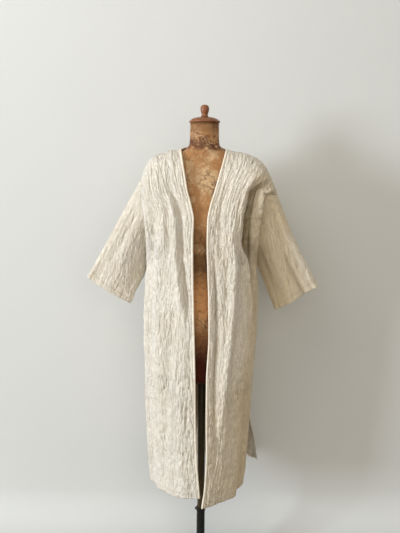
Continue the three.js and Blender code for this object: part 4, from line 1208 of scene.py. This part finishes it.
class HAORI_OT_panels(bpy.types.Operator):
    """Makes the fronts, the back, the sleeves and the bands"""

    bl_idname = "haori.panels"
    bl_label = "Haori"

    def execute(self, context):
        fronts, back, depths = plain_panels()
        for side, flip in SIDES.items():
            grid = cloth_piece("front_" + side, fronts[side], flip, depths)
            self.add_band("cloth_band_" + side, grid[:, :BAND_STRIP], flip, "edge_band_" + side)
            cloth_piece("sleeve_" + side, sleeve_grid(side, fronts, back), flip, depths)
        grid = cloth_piece("back_panel", back, 1, depths)
        middle = grid.shape[1] // 2
        span = int(middle * NECK_SHARE)
        neck = grid[-BAND_STRIP:, middle - span:middle + span + 1].transpose(1, 0, 2)[:, ::-1]
        self.add_band("cloth_band_neck", neck, 1, "neck_band")
        return {"FINISHED"}

    def add_band(self, name, strip, flip, replaces):
        """A band folded round an edge: strip holds the edge in its first column and the cloth beside it."""
        cloth = bpy.context.scene.haori_cloth
        width = cloth.band_width / MM
        edge = strip[:, 0]
        inward = strip[:, -1] - edge
        inward /= np.linalg.norm(inward, axis=1, keepdims=True)
        along = np.gradient(edge, axis=0)
        out = np.cross(inward, along) * flip
        out /= np.linalg.norm(out, axis=1, keepdims=True)
        profile = ((width, 1.0), (width, 1.9), (width * 0.5, 2.3), (1.2, 2.2), (-0.6, 1.7), (-1.4, 0.6),
                   (-1.4, -0.6), (-0.6, -1.7), (1.2, -2.2), (width, -1.9), (width, -1.0), (0.5, -1.0),
                   (0.5, 1.0))
        loops = np.stack([edge + inward * across + out * lift for across, lift in profile], axis=1) * MM
        piece = ringed_object(name, loops)
        close_ends(piece)
        dressed(piece, material_named("band_cotton", band_finish, cloth), FORM_BODY, replaces)


class HAORI_OT_form(bpy.types.Operator):
    """Makes the padded body, the cap and the knob of the dress form"""

    bl_idname = "haori.form"
    bl_label = "Dress form"

    # The knob: radius in metres, share of its height.
    KNOB_SHAPE = (
        (0.0125, 0.0), (0.0128, 0.02), (0.0118, 0.06), (0.0106, 0.1), (0.0103, 0.17), (0.0110, 0.25),
        (0.0124, 0.34), (0.0137, 0.45), (0.0145, 0.57), (0.0146, 0.67), (0.0140, 0.77), (0.0125, 0.86),
        (0.0098, 0.935), (0.0060, 0.98), (0.0025, 0.997),
    )
    CAP_EDGE = 0.0055
    DOME_STEPS = 13

    def execute(self, context):
        self.add_torso(context.scene.haori_form)
        self.add_turned("form_cap_wood", self.cap_profile(), "form_cap")
        low, high = (corner[2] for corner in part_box("form_finial"))
        knob = [(0, low)] + [(r, low + (high - low) * up) for r, up in self.KNOB_SHAPE] + [(0, high)]
        self.add_turned("form_knob_wood", knob, "form_finial")
        return {"FINISHED"}

    def cap_profile(self):
        """A flat underside, a rolled edge and a low dome."""
        (_, _, low), (radius, _, high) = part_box("form_cap")
        edge = low + self.CAP_EDGE
        profile = [(0, low), (radius - 0.003, low), (radius - 0.0008, low + 0.0008),
                   (radius, low + 0.0025), (radius - 0.0004, edge), (radius - 0.0022, edge + 0.0009),
                   (radius - 0.0042, edge + 0.0006)]
        dome_radius, dome_foot = radius - 0.005, edge + 0.0008
        for step in range(1, self.DOME_STEPS):
            angle = step / self.DOME_STEPS * math.pi / 2
            profile.append((dome_radius * math.cos(angle), dome_foot + (high - dome_foot) * math.sin(angle)))
        return profile + [(0.006, high), (0, high)]

    def add_turned(self, name, profile, node):
        """A piece of turned wood."""
        piece = turned_object(name, profile)
        finish = material_named("worn_wood", wood_finish, bpy.context.scene.haori_form)
        dressed(piece, finish, FORM_BODY, node)

    def add_torso(self, form):
        """The body from the frame's own levels, made smooth."""
        levels = node_levels("form_torso")
        heights = np.array([level[0] for level in levels])
        rows = [np.array([[wide, front, back]]) for _, wide, front, back in levels]
        fine = np.unique(np.concatenate([np.linspace(heights[0], heights[-1], FORM_ROWS), heights]))
        reach = smooth_rows(heights, rows, fine)[:, 0]
        angle = np.linspace(0, 2 * math.pi, FORM_COLUMNS, endpoint=False)
        c, s = np.cos(angle), np.sin(angle)
        x = reach[:, :1] * np.sign(c) * np.abs(c) ** FORM_ROUND
        y = np.where(s < 0, reach[:, 1:2], reach[:, 2:3]) * np.sign(s) * np.abs(s) ** FORM_ROUND
        rings = np.stack([x, y, np.repeat(fine[:, None], len(angle), axis=1)], axis=-1)
        on_axis = [0.0, 0.0, 1.0]
        rings = np.concatenate([rings[:1] * on_axis, rings, rings[-1:] * on_axis])
        piece = ringed_object("form_body_canvas", rings)
        weld(piece)
        dressed(piece, canvas_finish(form), FORM_BODY, "form_torso")


class HAORI_OT_stand(bpy.types.Operator):
    """Makes the pole, the tube, the collar, the screw and the foot"""

    bl_idname = "haori.stand"
    bl_label = "Stand"

    TUBE_WALL = 0.0015
    FOOT_ROLL = 0.0045

    def execute(self, context):
        colours = context.scene.haori_stand
        pole_paint = painted_finish("grey_steel", tuple(colours.pole), 0.34, 0.55)
        gloss = painted_finish("black_steel", tuple(colours.paint), 0.16, 0.34)
        low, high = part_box("mast_pole")
        pole = turned_object("stand_pole_steel", self.rod(high[0], low[2], high[2], 0.001))
        dressed(pole, pole_paint, FORM_BODY, "mast_pole")
        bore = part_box("stand_tube")[1][0] - self.TUBE_WALL
        for name, node, bevel in (("stand_tube_steel", "stand_tube", 0.0004),
                                  ("stand_collar_steel", "stand_collar", 0.0016)):
            low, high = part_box(node)
            tube = turned_object(name, self.pipe(bore, high[0], low[2], high[2], bevel))
            dressed(tube, gloss, STAND_BODY, node)
        self.add_foot(gloss)
        self.add_screw(gloss)
        return {"FINISHED"}

    def rod(self, radius, low, high, bevel):
        """The profile of a solid rod with bevelled ends."""
        return [(0, low), (radius - bevel, low), (radius, low + bevel), (radius, high - bevel),
                (radius - bevel, high), (0, high)]

    def pipe(self, bore, radius, low, high, bevel):
        """The profile of a pipe with rounded outer edges."""
        outer = []
        for corner, start in (((radius - bevel, low + bevel), -90), ((radius - bevel, high - bevel), 0)):
            for step in range(5):
                angle = math.radians(start + step * 22.5)
                outer.append((corner[0] + bevel * math.cos(angle), corner[1] + bevel * math.sin(angle)))
        return [(bore, low)] + outer + [(bore, high), (bore, low)]

    def add_foot(self, gloss):
        """A round cast foot with a rolled rim and a low dome."""
        low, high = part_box("stand_base")
        radius, top = high[0], high[2]
        profile = [(0, low[2]), (radius - 0.003, low[2])]
        roll = self.FOOT_ROLL
        for step in range(7):
            angle = math.radians(-90 + step * 30)
            profile.append((radius - roll + roll * math.cos(angle), roll + roll * math.sin(angle)))
        profile += [(radius - 0.012, 0.0094), (radius * 0.8, 0.0106), (radius * 0.6, 0.0122),
                    (radius * 0.4, 0.0140), (radius * 0.25, 0.0163), (0.030, 0.0186), (0.0255, 0.0212),
                    (0.0232, 0.0240), (0.0222, top - 0.0006), (0.0212, top), (0, top)]
        dressed(turned_object("stand_foot_iron", profile), gloss, STAND_BODY, "stand_base")

    def add_screw(self, gloss):
        """A knurled set screw in the collar."""
        low, high = (Vector(corner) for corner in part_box("clamp_screw"))
        centre = (low + high) / 2
        radius, half = (high.z - low.z) / 2, (high.x - low.x) / 2
        profile = [(0, -half), (radius - 0.0008, -half), (radius, -half + 0.0006), (radius, half - 0.0006),
                   (radius - 0.0008, half), (0.0022, half), (0.0018, half - 0.0008), (0, half - 0.0008)]
        piece = turned_object("stand_screw_steel", profile, segments=48)
        for point in piece.data.vertices:
            x, y, z = point.co
            spin = math.atan2(y, x)
            grip = 1 - 0.05 * (math.cos(spin * 16) > 0) if math.hypot(x, y) > radius * 0.9 else 1
            point.co = centre + Vector((-z, y * grip, x * grip))
        weld(piece)
        dressed(piece, gloss, STAND_BODY, "clamp_screw")


class HAORI_PT_sidebar(bpy.types.Panel):
    """Lists the settings and the pieces"""

    bl_label = "Long haori"
    bl_idname = "HAORI_PT_sidebar"
    bl_space_type = "VIEW_3D"
    bl_region_type = "UI"
    bl_category = "Haori"

    def draw(self, context):
        for settings in SETTINGS:
            group = getattr(context.scene, settings)
            box = self.layout.box()
            for name in group.bl_rna.properties.keys():
                if name not in ("rna_type", "name"):
                    box.prop(group, name)
        for operator in OPERATORS:
            self.layout.operator(operator.bl_idname)


SETTINGS = {
    "haori_cloth": HaoriClothSettings,
    "haori_form": HaoriFormSettings,
    "haori_stand": HaoriStandSettings,
    "haori_stage": HaoriStageSettings,
}
OPERATORS = (HAORI_OT_stage, HAORI_OT_panels, HAORI_OT_form, HAORI_OT_stand)
CLASSES = (*SETTINGS.values(), *OPERATORS, HAORI_PT_sidebar)


def register():
    for each in CLASSES:
        bpy.utils.register_class(each)
    for name, settings in SETTINGS.items():
        setattr(bpy.types.Scene, name, bpy.props.PointerProperty(type=settings))


def unregister():
    for name in SETTINGS:
        delattr(bpy.types.Scene, name)
    for each in reversed(CLASSES):
        bpy.utils.unregister_class(each)


def main():
    register()
    for operator in OPERATORS:
        group, name = operator.bl_idname.split(".")
        getattr(getattr(bpy.ops, group), name)()


if __name__ == "__main__":
    main()
